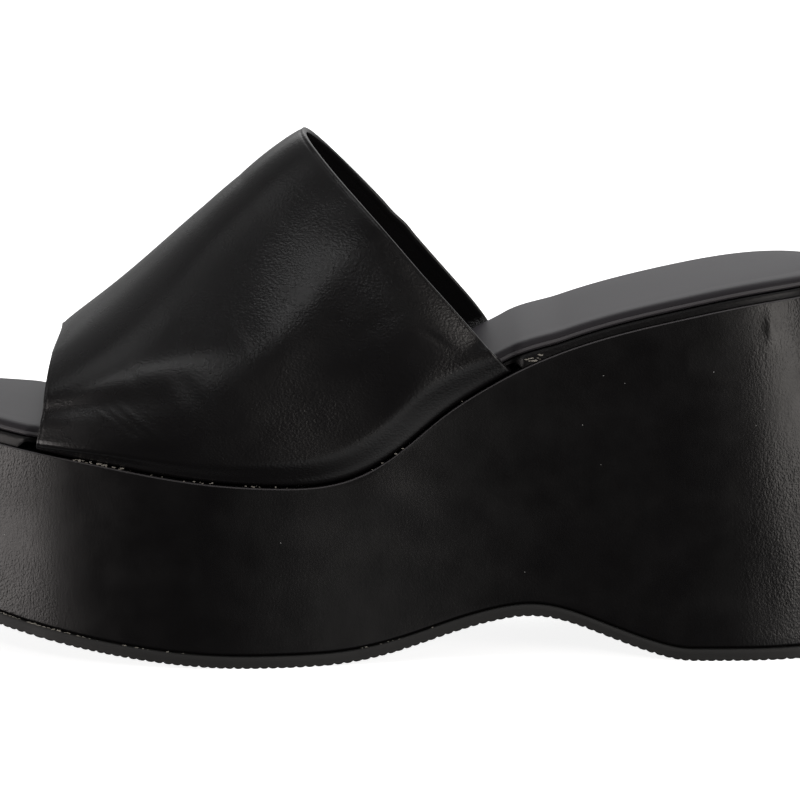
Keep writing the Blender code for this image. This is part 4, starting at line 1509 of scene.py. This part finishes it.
class MULE_OT_stage(bpy.types.Operator):
    """Make the floor, the soft studio light and the camera"""

    bl_idname = "mule.stage"
    bl_label = "Stage"

    # Softboxes. azimuth and elevation in degrees as seen from the shoe: azimuth 0 is towards the camera,
    # 90 towards the heel's side; roll turns the box clockwise as the shoe sees it; distance, width and
    # height in metres; light names the property.
    Softbox = namedtuple("Softbox", "name azimuth elevation roll distance width height light tint")
    softboxes = [
        Softbox("left_softbox", -72.0, -4.0, 0.0, 1.5, 1.3, 0.9, "left_light", "FFF8F5"),
        Softbox("right_softbox", 46.0, 6.0, 0.0, 1.5, 0.77, 1.0, "right_light", "FFF9F4"),
        Softbox("left_card", -72.0, 46.0, 0.0, 1.5, 0.6, 0.42, "card_light", "FFFFFF"),
        Softbox("top_softbox", -24.0, 34.0, -14.0, 1.7, 1.5, 0.155, "top_light", "FFFFFF"),
    ]

    # The white room round the shoe. A part's brightness is the product of its fades, and the brightest part
    # shows. axis: part of the direction seen from the shoe, which runs from -1 to 1; between start and end
    # the brightness goes softly from at_start to at_end, where a word names the property.
    Fade = namedtuple("Fade", "axis start end at_start at_end")
    room = {
        "background": [Fade("Y", -0.25, 0.35, "front_dark", "backdrop"), Fade("X", -0.24, -0.02, 0.50, 1.0)],
        "ceiling": [Fade("Z", 0.70, 0.94, 0.0, "ceiling"), Fade("X", -0.20, 0.35, 1.0, 4.0)],
        "high background": [
            Fade("Z", 0.05, 0.42, 0.0, "high_back"),
            Fade("Y", 0.05, 0.45, 0.0, 1.0),
            Fade("X", -0.52, -0.18, 0.14, 1.0),
        ],
        "table": [
            Fade("Z", -0.36, -0.12, "side_glow", 0.0),
            Fade("Z", -0.80, -0.54, 0.08, 1.0),
            Fade("X", 0.20, 0.48, 0.06, 1.0),
        ],
    }

    # How far the camera sees, in metres, and where it aims across the shoe
    farthest = 20.0
    aim_across = 0.4 * MM

    def execute(self, context):
        stage, finish = context.scene.mule_stage, context.scene.mule_finish
        self.add_floor(stage, finish)
        self.add_world(context.scene, stage)
        for box in self.softboxes:
            self.add_softbox(box, getattr(stage, box.light))
        self.add_camera(context.scene, stage)
        context.scene.view_settings.view_transform = "Standard"
        context.scene.view_settings.look = "None"
        return {"FINISHED"}

    def add_floor(self, stage, finish):
        """The acrylic sheet. The camera sees it with its shadow; the shoe mirrors the room instead."""
        half = stage.floor_size / 2.0
        corners = [(-half, -half, 0.0), (half, -half, 0.0), (half, half, 0.0), (-half, half, 0.0)]
        floor = add_piece("floor", corners, [(0, 1, 2, 3)], [floor_material(finish, stage)])
        floor.visible_glossy = False
        floor.visible_diffuse = False
        floor.visible_shadow = False

    def add_world(self, scene, stage):
        """White to the camera; to the shoe, a white room that is dark in front, behind the camera."""
        world = bpy.data.worlds.new("white studio")
        scene.world = world
        world.use_nodes = True
        tree = world.node_tree
        background = tree.nodes["Background"]
        background.inputs["Color"].default_value = (1.0, 1.0, 1.0, 1.0)
        way = add_node(tree, "ShaderNodeTexCoord").outputs["Generated"]
        axes = add_node(tree, "ShaderNodeSeparateXYZ", Vector=way).outputs
        shown = add_node(tree, "ShaderNodeLightPath").outputs["Is Camera Ray"]
        for fades in self.room.values():
            bright = 1.0
            for fade in fades:
                ends = [getattr(stage, v) if isinstance(v, str) else v for v in (fade.at_start, fade.at_end)]
                soft = add_node(
                    tree,
                    "ShaderNodeMapRange",
                    {"interpolation_type": "SMOOTHSTEP"},
                    Value=axes[fade.axis],
                    From_Min=fade.start,
                    From_Max=fade.end,
                    To_Min=ends[0],
                    To_Max=ends[1],
                )
                both = add_node(tree, "ShaderNodeMath", TIMES, i0=bright, i1=soft.outputs["Result"])
                bright = both.outputs[0]
            shown = add_node(tree, "ShaderNodeMath", LARGER, i0=shown, i1=bright).outputs[0]
        tree.links.new(shown, background.inputs["Strength"])

    def add_softbox(self, box, brightness):
        """A rectangular area light that faces the shoe, as bright as its surface looks."""
        light = bpy.data.lights.new(box.name, "AREA")
        light.shape = "RECTANGLE"
        light.size, light.size_y = box.width, box.height
        light.energy = brightness * math.pi * box.width * box.height
        light.color = linear(box.tint)
        turn, rise = math.radians(box.azimuth), math.radians(box.elevation)
        way = Vector((math.sin(turn) * math.cos(rise), -math.cos(turn) * math.cos(rise), math.sin(rise)))
        aim = Vector((0.0, 0.0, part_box("platform_wedge")[1].z / 2.0))
        thing = bpy.data.objects.new(box.name, light)
        thing.location = aim + way * box.distance
        thing.rotation_euler = (-way).to_track_quat("-Z", "Y").to_euler()
        thing.rotation_euler.rotate_axis("Z", math.radians(box.roll))
        thing.visible_camera = False
        bpy.context.scene.collection.objects.link(thing)

    def add_camera(self, scene, stage):
        """A long lens that looks square at the shoe's outer side, from a little above."""
        camera = bpy.data.cameras.new("camera")
        camera.sensor_width = stage.sensor / MM
        camera.lens = stage.lens / MM
        camera.clip_end = self.farthest
        thing = bpy.data.objects.new("camera", camera)
        tilt = stage.camera_tilt
        aim = Vector((stage.camera_aim, self.aim_across, stage.camera_height))
        back = Vector((0.0, -math.cos(tilt), math.sin(tilt)))
        thing.location = aim + back * stage.camera_distance
        thing.rotation_euler = (math.pi / 2.0 - tilt, 0.0, 0.0)
        scene.collection.objects.link(thing)
        scene.camera = thing


class MULE_PT_panel(bpy.types.Panel):
    """Lists the mule's pieces and their sizes"""

    bl_idname = "MULE_PT_panel"
    bl_label = "Platform mule"
    bl_space_type = "VIEW_3D"
    bl_region_type = "UI"
    bl_category = "Mule"

    def draw(self, context):
        for operator in OPERATORS:
            self.layout.operator(operator.bl_idname)
        for name, group in GROUPS.items():
            box = self.layout.box()
            box.label(text=group.__doc__)
            for prop in group.__annotations__:
                box.prop(getattr(context.scene, name), prop)


OPERATORS = [
    MULE_OT_stage,
    MULE_OT_outsole,
    MULE_OT_wedge,
    MULE_OT_rand,
    MULE_OT_insole,
    MULE_OT_strap,
    MULE_OT_lining,
    MULE_OT_adhesive,
]


def register():
    """Registers the groups, gives the scene one of each, and registers the operators and the panel."""
    for group in GROUPS.values():
        bpy.utils.register_class(group)
    for name, group in GROUPS.items():
        setattr(bpy.types.Scene, name, bpy.props.PointerProperty(type=group))
    for operator in OPERATORS:
        bpy.utils.register_class(operator)
    bpy.utils.register_class(MULE_PT_panel)


def unregister():
    """Takes back what register did."""
    bpy.utils.unregister_class(MULE_PT_panel)
    for operator in reversed(OPERATORS):
        bpy.utils.unregister_class(operator)
    for name, group in GROUPS.items():
        delattr(bpy.types.Scene, name)
        bpy.utils.unregister_class(group)


def main():
    """Makes the stage and the pieces."""
    register()
    bpy.ops.mule.stage()
    bpy.ops.mule.outsole()
    bpy.ops.mule.wedge()
    bpy.ops.mule.rand()
    bpy.ops.mule.insole()
    bpy.ops.mule.strap()
    bpy.ops.mule.lining()
    bpy.ops.mule.adhesive()


if __name__ == "__main__":
    main()
